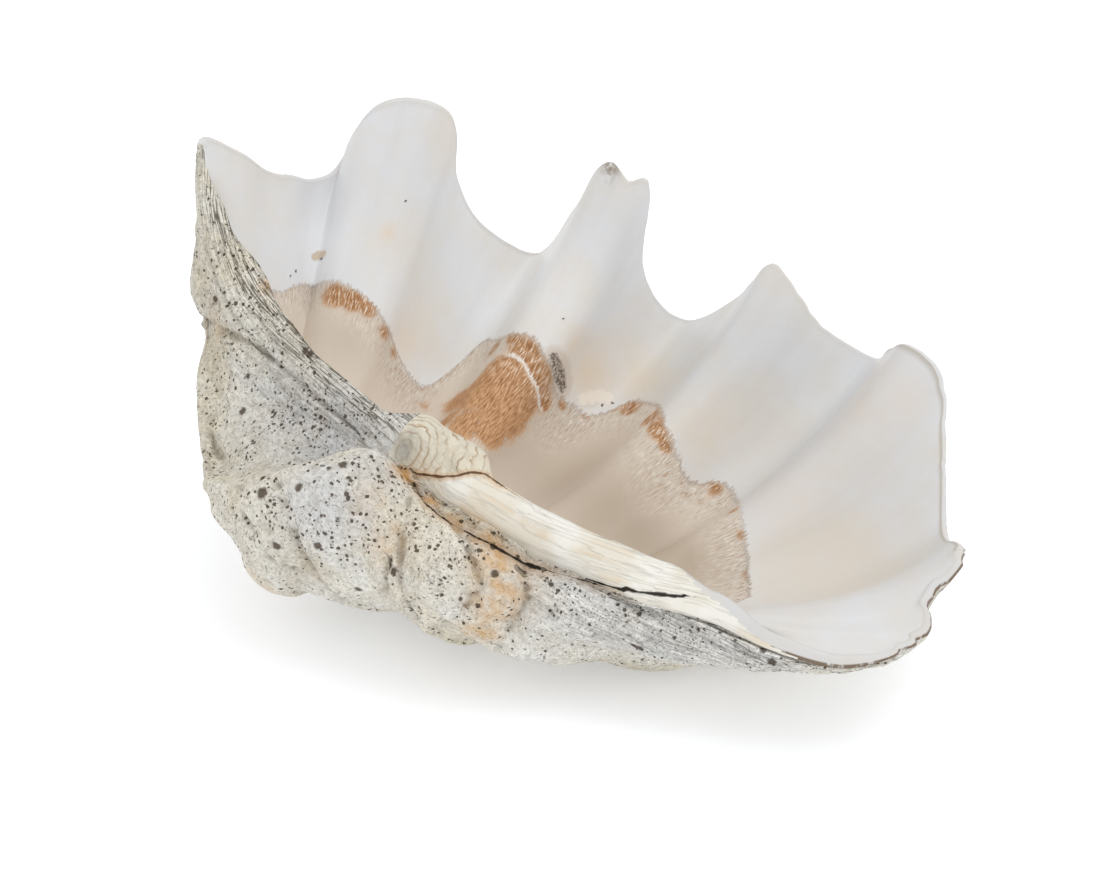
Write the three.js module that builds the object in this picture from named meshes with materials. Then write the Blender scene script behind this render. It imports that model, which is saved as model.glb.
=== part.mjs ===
// One valve of a giant clam, a bowl of thick chalky shell lying on its rounded outside.
// Millimetres. The hinge side faces -Y, the scalloped free margin +Y, the mouth opens towards +Z.
// The whole valve is one grown solid. It is one closed skin made of three bands of rings:
// the rough outside from the beak to the edge, the thickness of the edge, and the smooth bowl.
import * as THREE from 'three';

// How the valve grew.
const BEAK = [-30, -14, -30];     // the oldest point, just below the hinge
const COIL = 0.62;                // how fast the outside shrinks per radian of curl
const SPREAD = 1.42;              // how early the ribs fan out sideways from the beak
const DEPTH = 0.91;               // depth of the curl against its height
const END_DEPTH = [0.74, 0.20];   // how much the left and the right end deepen the curl
const SIDE_PULL = 1.45;           // how fast the ends lose their distance from the hinge
const FOLD_FADE = 2.8;            // how fast the ups and downs of the edge fade outside
const SOFTEN = 32;                // mm, chips and small dents of the edge are lost this far back
const YOUNG_SOFTEN = 80;          // mm, the same for the edge of the young shell
const LATE = 0.86;                // the edge got its present chips after this share of the growth
const YOUNG_FOLDS = 0.3;          // share of the folds that is left at the worn beak
const RIB = 6;                    // height of the rounded ribs half way down the outside
const LUMP = 2.2;                 // unevenness of the worn outside
const STAGE = 0.036;              // height of a growth stage against the size of the shell then
const STAGE_GAP = 0.49;           // logarithm of the growth from one stage to the next
const STAGE_START = 0.288;        // logarithm of the growth since the last stage began
const HUMPS = [                   // middle, radius and height of the humps of the old shell
  [[68, -42, -44], 42, 7],
  [[-125, -72, -98], 50, 13],
  [[-84, -60, -134], 40, 9],
  [[100, -20, -108], 40, 8],
  [[-321, 89, -48], 32, 10],
];
const FOLD = [[2, -36, -12], [26, -62, -62], 9, 4];   // ends, width and depth of the fold beside it

// The bowl.
const EDGE_WALL = 8;              // thickness at the free margin
const THICKEN = 90;               // thickness gained from the margin towards the middle
const FLOOR_IN = [8, 74, -124];   // the inner point that all bowl lines run to
const BOWL_SPREAD = 1.6;          // how early the bowl widens above its floor under the hinge
const FOLD_FADE_IN = 2.2;         // how fast the ups and downs of the hinge side fade inside
const WALL_FOOT = 0.6;            // where the wall that follows the outside turns into the floor
const SCAR = 2.5;                 // height of the step along the muscle scars
const GROOVE = 6;                 // depth of the crack under the hinge plate

// How it lies.
const TIP_BACK = 2.35;            // degrees, the hinge side sinks
const TIP_SIDE = 12.8;            // degrees, the left end rises
const WORN = 11.5;                 // depth of the flat worn on the belly, where it rests

// How fine the skin is.
const STEP = 20;                  // mm between the lines of the skin along the edge
const ROWS_OUT = 21;              // rings between the beak and the edge
const ROWS_IN = 15;               // rings between the edge and the floor

// Points of the outer edge, once round from the left tip over the free margin and back
// along the hinge: name, x, y, z, steepness of the bowl, rib (1) or groove (-1) outside,
// swelling of the belly in mm, distance of the muscle scar from the floor (0 to 1) and,
// on the hinge side only, the step from the outer to the inner edge and how domed it is between.
const EDGE = [
  ['left tip', -374, 131, 65, 2.4, -1.2, -4, 0.78],
  ['left slope', -356, 162, 47, 2.5, -0.4, -3, 0.78],
  ['left notch', -350, 195, 17, 2.7, 0.6, -2, 0.79],
  ['hollow 1 start', -339, 216, 9, 2.8, 1.0, -1, 0.79],
  ['hollow 1', -337, 242, -5, 2.8, 1.0, 0, 0.79],
  ['peak 1 foot', -333, 266, -5, 2.8, 0.2, 2, 0.78],
  ['peak 1 flank', -331, 282, 10, 2.8, -0.5, 4, 0.77],
  ['peak 1 left', -314, 298, 62, 2.8, -1.0, 6, 0.76],
  ['peak 1 top', -297, 319, 70, 2.8, -1.0, 8, 0.75],
  ['peak 1 right', -273, 336, 67, 2.8, -1.0, 10, 0.74],
  ['peak 1 corner', -261, 343, 56, 2.8, -0.6, 10, 0.73],
  ['peak 1 end', -250, 343, 4, 2.8, 0.0, 10, 0.72],
  ['hollow 2 start', -226, 361, -47, 2.8, 0.8, 10, 0.73],
  ['hollow 2', -180, 401, -76, 3.0, 1.0, 10, 0.79],
  ['peak 2 flank', -143, 398, -1, 3.0, -0.3, 9, 0.80],
  ['peak 2 nub', -127, 406, 51, 3.0, -1.1, 8, 0.79],
  ['peak 2 chip', -105, 408, 40, 3.0, -1.1, 7, 0.79],
  ['peak 2 right', -93, 415, 46, 3.0, -1.1, 6, 0.77],
  ['peak 2 end', -78, 411, -35, 3.0, 0.1, 4, 0.78],
  ['hollow 3 start', -54, 424, -79, 3.0, 0.8, 0, 0.81],
  ['hollow 3', -27, 435, -87, 3.0, 1.0, -4, 0.84],
  ['peak 3 foot', 22, 426, -30, 3.0, 0.0, -6, 0.83],
  ['peak 3 flank', 44, 408, 12, 3.0, -0.9, -7, 0.81],
  ['peak 3', 54, 408, 34, 3.0, -1.2, -8, 0.79],
  ['peak 3 right', 82, 409, 17, 3.0, -0.9, -10, 0.76],
  ['peak 3 step', 107, 418, -8, 2.8, 0.2, -14, 0.74],
  ['hollow 4', 158, 431, -22, 2.6, 1.0, -18, 0.76],
  ['peak 4 foot', 198, 373, 40, 2.5, -0.3, -16, 0.74],
  ['peak 4 left', 217, 349, 66, 2.4, -1.0, -14, 0.72],
  ['peak 4 top', 238, 347, 65, 2.3, -1.0, -14, 0.70],
  ['peak 4 right', 257, 340, 53, 2.3, -0.8, -13, 0.68],
  ['peak 4 end', 278, 324, 16, 2.2, 0.2, -12, 0.65],
  ['hollow 5', 318, 279, -31, 1.9, 1.0, -12, 0.61],
  ['peak 5 left', 354, 216, 15, 1.5, -0.5, -11, 0.58],
  ['peak 5', 364, 196, 21, 1.4, -0.8, -10, 0.56],
  ['peak 5 end', 363, 162, 2, 1.2, -0.2, -9, 0.53],
  ['right end', 375, 125, -5, 1.0, 0.6, -8, 0.50],
  ['hinge end', 345, 64, -16, 0.7, 0.2, -4, 0.45, [-4, 8, 6, 0.2]],
  ['hinge right', 290, 42, -20, 1.1, 0, 0, 0.42, [0, 8, 10, 0.12]],
  ['crack end', 236, 40, -26, 2.0, 0, 0, 0.40, [-4, 16, 16, 0.08]],
  ['plate 4', 190, 26, -32, 3.5, 0, 0, 0.40, [-4, 30, 22, 0.08]],
  ['plate 3', 148, 18, -38, 5.0, 0, 0, 0.40, [-8, 26, 29, 0.08]],
  ['plate 2', 98, 8, -42, 6.0, 0, 0, 0.40, [-14, 26, 34, 0.08]],
  ['plate 1', 54, 0, -38, 7.0, 0, 0, 0.40, [-12, 32, 31, 0.1]],
  ['plate start', 12, -6, -34, 8.0, 0, 0, 0.40, [-2, 53, 34, 0.24]],
  ['beak notch', -32, 0, -22, 8.0, 0, 0, 0.40, [-1, 45, 26, 0.24]],
  ['layers 1', -84, 16, -24, 7.0, 0, 0, 0.45, [0, 18, 18, 0.12]],
  ['layers 2', -158, 34, -28, 6.0, 0.1, 0, 0.55, [0, 14, 22, 0.1]],
  ['layers 3', -212, 46, -28, 5.0, 0.3, 0, 0.62, [0, 22, 24, 0.1]],
  ['layers 4', -268, 62, -22, 4.0, 1.0, 0, 0.68, [4, 34, 24, 0.1]],
  ['layers 5', -326, 92, 2, 3.2, -1.0, -3, 0.74, [4, 24, 12, 0.15]],
  ['layers 6', -366, 122, 40, 2.6, 1.0, -4, 0.77, [6, 6, 4, 0.25]],
];
const COUNT = EDGE.length;
const FREE_END = EDGE.findIndex((e) => e[0] === 'right end');
const LEFT_END = EDGE.findIndex((e) => e[0] === 'peak 2 nub');

const add = (a, b, k = 1) => [a[0] + b[0] * k, a[1] + b[1] * k, a[2] + b[2] * k];
const sub = (a, b) => [a[0] - b[0], a[1] - b[1], a[2] - b[2]];
const mix = (a, b, k) => a.map((v, i) => v + (b[i] - v) * k);
const unit = (a) => {
  const n = Math.hypot(...a) || 1;
  return a.map((v) => v / n);
};
const cross = (a, b) => [a[1] * b[2] - a[2] * b[1], a[2] * b[0] - a[0] * b[2], a[0] * b[1] - a[1] * b[0]];
const clamp01 = (v) => Math.min(1, Math.max(0, v));
const smooth = (v) => v * v * (3 - 2 * v);

// A closed smooth curve through the given rows, one unit of t per row. Knots are spaced by
// the square root of the distance, so close points don't make the curve overshoot.
function loop(rows, t) {
  const n = rows.length;
  const at = (k) => rows[((k % n) + n) % n];
  const i = Math.floor(t), w = t - i;
  const [p0, p1, p2, p3] = [at(i - 1), at(i), at(i + 1), at(i + 2)];
  const gap = (a, b) => Math.max(Math.sqrt(Math.hypot(...a.map((v, k) => v - b[k]))), 0.01);
  const [d0, d1, d2] = [gap(p0, p1), gap(p1, p2), gap(p2, p3)];
  return p1.map((_, k) => {
    const t1 = ((p1[k] - p0[k]) / d0 - (p2[k] - p0[k]) / (d0 + d1) + (p2[k] - p1[k]) / d1) * d1;
    const t2 = ((p2[k] - p1[k]) / d1 - (p3[k] - p1[k]) / (d1 + d2) + (p3[k] - p2[k]) / d2) * d1;
    const c2 = -3 * p1[k] + 3 * p2[k] - 2 * t1 - t2;
    const c3 = 2 * p1[k] - 2 * p2[k] + t1 + t2;
    return p1[k] + t1 * w + c2 * w * w + c3 * w * w * w;
  });
}

const EDGE_POINTS = EDGE.map((e) => e.slice(1, 4));
const EDGE_VALUES = EDGE.map((e, i) => [...e.slice(4, 8), i <= FREE_END ? 1 : 0, ...(e[8] ?? [0, 0, 0, 0.28])]);

// The values between two points of the edge run straight from one to the next.
function values(t) {
  const i = Math.floor(t), w = t - i;
  const row = (k) => EDGE_VALUES[((k % COUNT) + COUNT) % COUNT];
  const [steep, rib, swell, scar, free, dx, dy, dz, dome] = mix(row(i), row(i + 1), smooth(w));
  return { steep, rib, swell, scar, free, step: [dx, dy, dz], dome };
}

// Rows softened along the edge: each sample is the mean of the others, weighted by exp(-(d/spread)^2).
const FINE = 6;
const ticks = Array.from({ length: COUNT * FINE }, (_, k) => k / FINE);
const onEdge = ticks.map((t) => loop(EDGE_POINTS, t));
const strides = onEdge.map((p, k) => Math.hypot(...sub(onEdge[(k + 1) % ticks.length], p)));
const walked = strides.map((_, k) => strides.slice(0, k).reduce((a, b) => a + b, 0));
const roundTrip = walked[walked.length - 1] + strides[strides.length - 1];
function softened(rows, spread) {
  return walked.map((from) => {
    const weights = walked.map((to, j) => {
      const way = Math.abs(to - from);
      return strides[j] * Math.exp(-((Math.min(way, roundTrip - way) / spread) ** 2));
    });
    const total = weights.reduce((a, b) => a + b, 0);
    return rows[0].map((_, k) => rows.reduce((sum, row, j) => sum + row[k] * weights[j], 0) / total);
  });
}
const softEdge = softened(onEdge, SOFTEN);
const youngEdge = softened(onEdge, YOUNG_SOFTEN);
const hasStages = (t) => (t < LEFT_END || t > COUNT - 6 ? 1 : t < FREE_END ? 0.55 : 0.2);
const habits = softened(ticks.map((t) => [values(t).rib, values(t).swell, hasStages(t)]), SOFTEN);

// The plain outside: the edge shrinks by g towards the beak while it curls round the hinge.
function grown(t, g) {
  const age = YOUNG_FOLDS + (1 - YOUNG_FOLDS) * smooth(clamp01((g - 0.1) / 0.5));
  const before = mix(loop(youngEdge, t * FINE), loop(softEdge, t * FINE), age);
  const [xm, ym, zm] = mix(before, loop(EDGE_POINTS, t), smooth(clamp01((g - LATE) / (1 - LATE))));
  const phi = -Math.log(Math.max(g, 1e-5)) / COIL;
  const dx = xm - BEAK[0];
  const reach = Math.hypot(ym, (dx < 0 ? END_DEPTH[0] : END_DEPTH[1]) * dx);
  return [
    BEAK[0] + dx * (1 - (1 - g) ** SPREAD),
    BEAK[1] * (1 - g) ** 2 + g * reach * Math.cos(phi) + (ym - reach) * g ** SIDE_PULL,
    BEAK[2] * (1 - g) ** 2 - DEPTH * g * reach * Math.sin(phi) + zm * g ** FOLD_FADE,
  ];
}

// The direction into the shell wall at a point of a surface given as a function of t and g.
function inward(surface, t, g) {
  const dt = sub(surface(t + 0.02, g), surface(t - 0.02, g));
  const dg = sub(surface(t, g), surface(t, g - Math.min(0.006, g * 0.5)));
  return unit(cross(dt, dg));
}

// Soft lumps of the worn outside.
function lump([x, y, z]) {
  return Math.sin(x / 21 + 1.3 * Math.sin(y / 33)) * Math.sin(y / 24 + z / 29 + 0.8)
    + 0.6 * Math.sin(x / 13 - z / 17 + 2.1) * Math.sin(y / 15 + 0.4);
}

// The humps, and the fold beside the beak.
function byTheBeak(p) {
  const [from, to, width, depth] = FOLD;
  const along = sub(to, from), way = sub(p, from);
  const share = clamp01(way.reduce((sum, v, k) => sum + v * along[k], 0) / Math.hypot(...along) ** 2);
  const hump = HUMPS.reduce((sum, [middle, radius, height]) => (
    sum + height * Math.exp(-((Math.hypot(...sub(p, middle)) / radius) ** 2))), 0);
  return hump - depth * Math.exp(-((Math.hypot(...sub(p, add(from, along, share))) / width) ** 2));
}

// Swellings left by the stages of growth: each starts steeply and fades towards the next.
function stages(t, g, weight) {
  const size = Math.hypot(...sub(loop(EDGE_POINTS, t), BEAK)) * g;
  const turn = (Math.log(g) + STAGE_START) / STAGE_GAP;
  const wave = Math.sin(Math.PI * (turn - Math.floor(turn)) ** 0.6) - 0.6;
  return STAGE * size * wave * (1 - g ** 8) * weight;
}

// The outside with its rounded ribs, its lumps and the crack below the hinge plate.
function outside(t, g) {
  const { free } = values(t);
  const [rib, swell, staged] = loop(habits, t * FINE);
  const p = grown(t, g);
  const belly = 6.75 * g * (1 - g) ** 2;
  const folds = 6.75 * g * g * (1 - g);
  const crack = (1 - free) * GROOVE * Math.max(0, 1 - Math.abs(g - 0.972) / 0.028);
  const out = folds * RIB * rib + belly * swell + LUMP * lump(p) * Math.min(1, 8 * g * (1 - g))
    + stages(t, g, staged) + byTheBeak(p) * (1 - g ** 6) - crack;
  return add(p, inward(grown, t, g), -out);
}

// From a point of the outside towards the middle line of the mouth.
const toAxis = (p) => unit(sub([0.6 * p[0], 130, 40], p));
const wall = (t, g, p) => unit(add(inward(grown, t, g), toAxis(p)));

function innerEdge(t) {
  const { free, step } = values(t);
  const p = loop(EDGE_POINTS, t);
  return mix(add(p, step), add(p, wall(t, 1, p), EDGE_WALL), free);
}

// The wall of the bowl follows the outside at a distance that grows away from the free margin.
function wallInside(t, s) {
  const p = grown(t, s);
  return add(add(p, wall(t, s, p), EDGE_WALL), toAxis(p), THICKEN * (1 - s));
}

// The bowl: the wall, then a smooth run down to the floor. Under the hinge plate it drops steeply.
function inside(t, s) {
  const { steep, scar, free } = values(t);
  const e = innerEdge(t);
  const across = 1 - (1 - s) ** BOWL_SPREAD;
  const steepDrop = [
    FLOOR_IN[0] + (e[0] - FLOOR_IN[0]) * across,
    FLOOR_IN[1] + (e[1] - FLOOR_IN[1]) * s,
    e[2] * s ** FOLD_FADE_IN + FLOOR_IN[2] * (1 - s ** steep),
  ];
  let bowl = wallInside(t, Math.max(s, WALL_FOOT));
  if (s < WALL_FOOT) {
    const w = s / WALL_FOOT;
    const run = sub(bowl, FLOOR_IN);
    const slope = unit(sub(wallInside(t, WALL_FOOT + 0.01), bowl)).map((v) => v * Math.hypot(...run));
    bowl = FLOOR_IN.map((v, k) => v + run[k] * (3 - 2 * w) * w * w
      + (k < 2 ? run[k] : 0) * w * (1 - w) ** 2 - slope[k] * w * w * (1 - w));
  }
  const q = mix(steepDrop, bowl, free);
  return add(q, [0, 0, 1], SCAR * free * smooth(clamp01((scar - s) / 0.05)) * clamp01(s / 0.3));
}

// The edge itself, slightly domed between the outer and the inner line.
function rim(t, v) {
  const [o, i] = [loop(EDGE_POINTS, t), innerEdge(t)];
  const dome = values(t).dome * Math.hypot(...sub(i, o)) * Math.sin(Math.PI * v);
  return add(mix(o, i, v), [0, -0.25, 1], dome);
}

// The closed skin: columns run from the beak over the edge to the floor, rings run round.
const columns = [];
for (let i = 0; i < COUNT; i += 1) {
  const length = Math.hypot(...sub(EDGE_POINTS[(i + 1) % COUNT], EDGE_POINTS[i]));
  const parts = Math.max(1, Math.round(length / STEP));
  for (let k = 0; k < parts; k += 1) columns.push(i + k / parts);
}
const rings = [];
for (let i = 1; i <= ROWS_OUT; i += 1) {
  const g = (i / (ROWS_OUT + 1)) ** 1.22;
  rings.push(columns.map((t) => outside(t, g)));
}
rings.push(columns.map((t) => outside(t, 0.972)));
for (const v of [0, 0.35, 0.7]) rings.push(columns.map((t) => rim(t, v)));
for (let i = ROWS_IN; i >= 1; i -= 1) rings.push(columns.map((t) => inside(t, (i / ROWS_IN) ** 0.8)));

const points = [outside(0, 1e-5), ...rings.flat(), FLOOR_IN];
const faces = [];
const width = columns.length, last = points.length - 1;
for (let r = 0; r < rings.length - 1; r += 1) {
  for (let c = 0; c < width; c += 1) {
    const a = 1 + r * width + c, b = 1 + r * width + ((c + 1) % width);
    faces.push([a, b + width, b], [a, a + width, b + width]);
  }
}
for (let c = 0; c < width; c += 1) {
  const d = (c + 1) % width;
  faces.push([0, 1 + c, 1 + d], [last, last - width + d, last - width + c]);
}

// Laid down on its belly, centred over the origin, with the lowest part worn flat.
const tilt = new THREE.Matrix4().makeRotationX(THREE.MathUtils.degToRad(TIP_BACK))
  .multiply(new THREE.Matrix4().makeRotationY(THREE.MathUtils.degToRad(TIP_SIDE)));
const laid = points.map((p) => new THREE.Vector3(...p).applyMatrix4(tilt));
const box = new THREE.Box3().setFromPoints(laid);
const ground = box.min.z + WORN;
for (const p of laid) {
  p.x -= (box.min.x + box.max.x) / 2;
  p.y -= (box.min.y + box.max.y) / 2;
  p.z = Math.max(p.z, ground) - ground;
}

const geometry = new THREE.BufferGeometry();
geometry.setAttribute('position', new THREE.Float32BufferAttribute(laid.flatMap((p) => [p.x, p.y, p.z]), 3));
geometry.setIndex(faces.flat());
geometry.computeVertexNormals();

const shell = new THREE.MeshStandardMaterial({ color: '#d9d6cf', roughness: 0.6, metalness: 0 });
const valve = new THREE.Mesh(geometry, shell);
valve.name = 'clam_valve';

const part = new THREE.Group();
part.name = 'giant_clam_shell';
part.add(valve);
export default part;
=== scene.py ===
# %% [markdown]
# # One valve of a giant clam
# The shell lies on its rounded outside with its mouth up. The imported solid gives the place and
# the size. This lesson grows the same shell again as one finer closed skin, so that it can carry
# ledges, a crack and worn edges, and then gives it three natural finishes.

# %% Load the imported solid
import math
import bpy
import numpy as np
from mathutils import Matrix, Vector


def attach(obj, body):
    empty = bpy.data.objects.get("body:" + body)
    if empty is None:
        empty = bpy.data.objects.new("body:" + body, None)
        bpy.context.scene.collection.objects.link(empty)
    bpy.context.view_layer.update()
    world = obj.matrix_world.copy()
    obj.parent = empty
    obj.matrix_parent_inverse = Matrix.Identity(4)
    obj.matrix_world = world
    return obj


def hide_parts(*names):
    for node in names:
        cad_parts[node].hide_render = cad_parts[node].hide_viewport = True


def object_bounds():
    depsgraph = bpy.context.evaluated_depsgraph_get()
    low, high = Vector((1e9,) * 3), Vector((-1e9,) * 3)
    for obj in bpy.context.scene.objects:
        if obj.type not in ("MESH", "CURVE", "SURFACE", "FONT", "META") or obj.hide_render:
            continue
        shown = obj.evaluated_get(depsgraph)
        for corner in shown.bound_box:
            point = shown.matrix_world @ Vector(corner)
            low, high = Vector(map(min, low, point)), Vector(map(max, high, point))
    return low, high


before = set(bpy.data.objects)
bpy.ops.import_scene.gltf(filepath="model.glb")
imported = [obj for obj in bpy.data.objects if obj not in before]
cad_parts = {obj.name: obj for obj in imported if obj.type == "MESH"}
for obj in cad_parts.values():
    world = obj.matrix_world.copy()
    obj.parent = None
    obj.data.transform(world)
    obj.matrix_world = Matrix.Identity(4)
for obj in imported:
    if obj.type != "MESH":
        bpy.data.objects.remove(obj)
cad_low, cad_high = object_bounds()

print("solid, metres:", [round(v, 4) for v in cad_high - cad_low])

# %% [markdown]
# ## The edge of the shell
# A clam adds shell only along its edge, so the edge decides everything else. It is kept as a short
# list of places, once round: along the wavy free side, then back along the hinge. Each row holds
# x, y, z in millimetres, how steeply the bowl drops there, whether the outside is a rib (1) or a
# groove (-1), how much the belly swells, and how far out the muscle scar lies (0 floor, 1 edge).
# Then come how much it belongs to the free edge (1) or to the hinge (0), the step from the outer to
# the inner side of the thick hinge plate, and how domed the edge is. Rows of the free edge share
# these last five numbers, so they are written once.

# %% The edge, row by row
FREE_EDGE = (1, 0, 0, 0, 0.28)
EDGE = [
    ("left tip", -374, 131, 65, 2.4, -1.2, -4, 0.78),
    ("left slope", -356, 162, 47, 2.5, -0.4, -3, 0.78),
    ("left notch", -350, 195, 17, 2.7, 0.6, -2, 0.79),
    ("hollow 1 start", -339, 216, 9, 2.8, 1, -1, 0.79),
    ("hollow 1", -337, 242, -5, 2.8, 1, 0, 0.79),
    ("peak 1 foot", -333, 266, -5, 2.8, 0.2, 2, 0.78),
    ("peak 1 flank", -331, 282, 10, 2.8, -0.5, 4, 0.77),
    ("peak 1 left", -314, 298, 62, 2.8, -1, 6, 0.76),
    ("peak 1 top", -297, 319, 70, 2.8, -1, 8, 0.75),
    ("peak 1 right", -273, 336, 67, 2.8, -1, 10, 0.74),
    ("peak 1 corner", -261, 343, 56, 2.8, -0.6, 10, 0.73),
    ("peak 1 end", -250, 343, 4, 2.8, 0, 10, 0.72),
    ("hollow 2 start", -226, 361, -47, 2.8, 0.8, 10, 0.73),
    ("hollow 2", -180, 401, -76, 3, 1, 10, 0.79),
    ("peak 2 flank", -143, 398, -1, 3, -0.3, 9, 0.8),
    ("peak 2 nub", -127, 406, 51, 3, -1.1, 8, 0.79),
    ("peak 2 chip", -105, 408, 40, 3, -1.1, 7, 0.79),
    ("peak 2 right", -93, 415, 46, 3, -1.1, 6, 0.77),
    ("peak 2 end", -78, 411, -35, 3, 0.1, 4, 0.78),
    ("hollow 3 start", -54, 424, -79, 3, 0.8, 0, 0.81),
    ("hollow 3", -27, 435, -87, 3, 1, -4, 0.84),
    ("peak 3 foot", 22, 426, -30, 3, 0, -6, 0.83),
    ("peak 3 flank", 44, 408, 12, 3, -0.9, -7, 0.81),
    ("peak 3", 54, 408, 34, 3, -1.2, -8, 0.79),
    ("peak 3 right", 82, 409, 17, 3, -0.9, -10, 0.76),
    ("peak 3 step", 107, 418, -8, 2.8, 0.2, -14, 0.74),
    ("hollow 4", 158, 431, -22, 2.6, 1, -18, 0.76),
    ("peak 4 foot", 198, 373, 40, 2.5, -0.3, -16, 0.74),
    ("peak 4 left", 217, 349, 66, 2.4, -1, -14, 0.72),
    ("peak 4 top", 238, 347, 65, 2.3, -1, -14, 0.7),
    ("peak 4 right", 257, 340, 53, 2.3, -0.8, -13, 0.68),
    ("peak 4 end", 278, 324, 16, 2.2, 0.2, -12, 0.65),
    ("hollow 5", 318, 279, -31, 1.9, 1, -12, 0.61),
    ("peak 5 left", 354, 216, 15, 1.5, -0.5, -11, 0.58),
    ("peak 5", 364, 196, 21, 1.4, -0.8, -10, 0.56),
    ("peak 5 end", 363, 162, 2, 1.2, -0.2, -9, 0.53),
    ("right end", 375, 125, -5, 1, 0.6, -8, 0.5),
    ("hinge end", 345, 64, -16, 0.7, 0.2, -4, 0.45, 0, -4, 8, 6, 0.2),
    ("hinge right", 290, 42, -20, 1.1, 0, 0, 0.42, 0, 0, 8, 10, 0.12),
    ("crack end", 236, 40, -26, 2, 0, 0, 0.4, 0, -4, 16, 16, 0.08),
    ("plate 4", 190, 26, -32, 3.5, 0, 0, 0.4, 0, -4, 30, 22, 0.08),
    ("plate 3", 148, 18, -38, 5, 0, 0, 0.4, 0, -8, 26, 29, 0.08),
    ("plate 2", 98, 8, -42, 6, 0, 0, 0.4, 0, -14, 26, 34, 0.08),
    ("plate 1", 54, 0, -38, 7, 0, 0, 0.4, 0, -12, 32, 31, 0.1),
    ("plate start", 12, -6, -34, 8, 0, 0, 0.4, 0, -2, 53, 34, 0.24),
    ("beak notch", -32, 0, -22, 8, 0, 0, 0.4, 0, -1, 45, 26, 0.24),
    ("layers 1", -84, 16, -24, 7, 0, 0, 0.45, 0, 0, 18, 18, 0.12),
    ("layers 2", -158, 34, -28, 6, 0.1, 0, 0.55, 0, 0, 14, 22, 0.1),
    ("layers 3", -212, 46, -28, 5, 0.3, 0, 0.62, 0, 0, 22, 24, 0.1),
    ("layers 4", -268, 62, -22, 4, 1, 0, 0.68, 0, 4, 34, 24, 0.1),
    ("layers 5", -326, 92, 2, 3.2, -1, -3, 0.74, 0, 4, 24, 12, 0.15),
    ("layers 6", -366, 122, 40, 2.6, 1, -4, 0.77, 0, 6, 6, 4, 0.25),
]

NAMES = [row[0] for row in EDGE]
PLACE = np.array([row[1:4] for row in EDGE], float)
HABIT = np.array([(row[4:] + FREE_EDGE)[:9] for row in EDGE], float)
print(len(EDGE), "rows of edge, from", NAMES[0], "to", NAMES[-1])

# %% [markdown]
# ## From rows to a smooth line
# A curve through points can overshoot where points crowd. Spacing its knots by the square root of
# the distance between the points (a centripetal Catmull-Rom curve) avoids that. One unit of the
# parameter t is the way from one row to the next.

# %% Small helpers for whole arrays
def smooth(v):
    """3v^2 - 2v^3, held between 0 and 1."""
    v = np.clip(v, 0, 1)
    return v * v * (3 - 2 * v)


def unit(v):
    """Each vector over its own length."""
    return v / np.maximum(np.linalg.norm(v, axis=-1, keepdims=True), 1e-12)


def bell(d, width):
    """exp(-(d / width)^2), 1 at d = 0."""
    return np.exp(-((d / width) ** 2))


def line(rows, t):
    """The cubic between two rows whose end slopes come from knots at the root of each distance."""
    i = np.floor(t).astype(int)
    w = (t - i)[..., None]
    p0, p1, p2, p3 = (rows[(i + k) % len(rows)] for k in (-1, 0, 1, 2))
    d0, d1, d2 = (np.maximum(((a - b) ** 2).sum(-1, keepdims=True) ** 0.25, 0.01)
                  for a, b in ((p0, p1), (p1, p2), (p2, p3)))
    s1 = ((p1 - p0) / d0 - (p2 - p0) / (d0 + d1) + (p2 - p1) / d1) * d1
    s2 = ((p2 - p1) / d1 - (p3 - p1) / (d1 + d2) + (p3 - p2) / d2) * d1
    return (p1 + s1 * w + (3 * p2 - 3 * p1 - 2 * s1 - s2) * w**2
            + (2 * p1 - 2 * p2 + s1 + s2) * w**3)


def habit(t):
    """The other numbers of the rows, eased from one row to the next."""
    i = np.floor(t).astype(int)
    w = smooth(t - i)[..., None]
    return HABIT[i % len(EDGE)] * (1 - w) + HABIT[(i + 1) % len(EDGE)] * w


# %% [markdown]
# ## How the outside grows
# A bivalve keeps its shape while it grows: each earlier edge is the present one, made smaller by
# a factor g and turned back round the hinge by an angle that grows with the logarithm of 1 / g.
# That is the equiangular spiral. So the outside is a function of t, round the edge, and of g,
# from 0 at the beak to 1 at the edge. The young shell had softer folds, so they fade towards the beak.

# %% The plain grown surface
BEAK = np.array([-30.0, -14.0, -30.0])
COIL, SPREAD, DEPTH = 0.62, 1.42, 0.91
END_DEPTH = (0.74, 0.20)
SIDE_PULL, FOLD_FADE = 1.45, 2.8
YOUNG_FOLDS, LATE = 0.3, 0.86
SOFTEN, YOUNG_SOFTEN, FINE = 32.0, 80.0, 6

ticks = np.arange(len(EDGE) * FINE) / FINE
on_edge = line(PLACE, ticks)
stride = np.linalg.norm(np.roll(on_edge, -1, 0) - on_edge, axis=1)
walked = np.cumsum(stride) - stride


def softened(rows, spread):
    """Each sample becomes the mean of all, weighted by exp(-(way along the edge / spread)^2)."""
    way = np.abs(walked[:, None] - walked[None])
    weight = stride * bell(np.minimum(way, stride.sum() - way), spread)
    return weight @ rows / weight.sum(1, keepdims=True)


soft_edge, young_edge = softened(on_edge, SOFTEN), softened(on_edge, YOUNG_SOFTEN)


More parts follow.
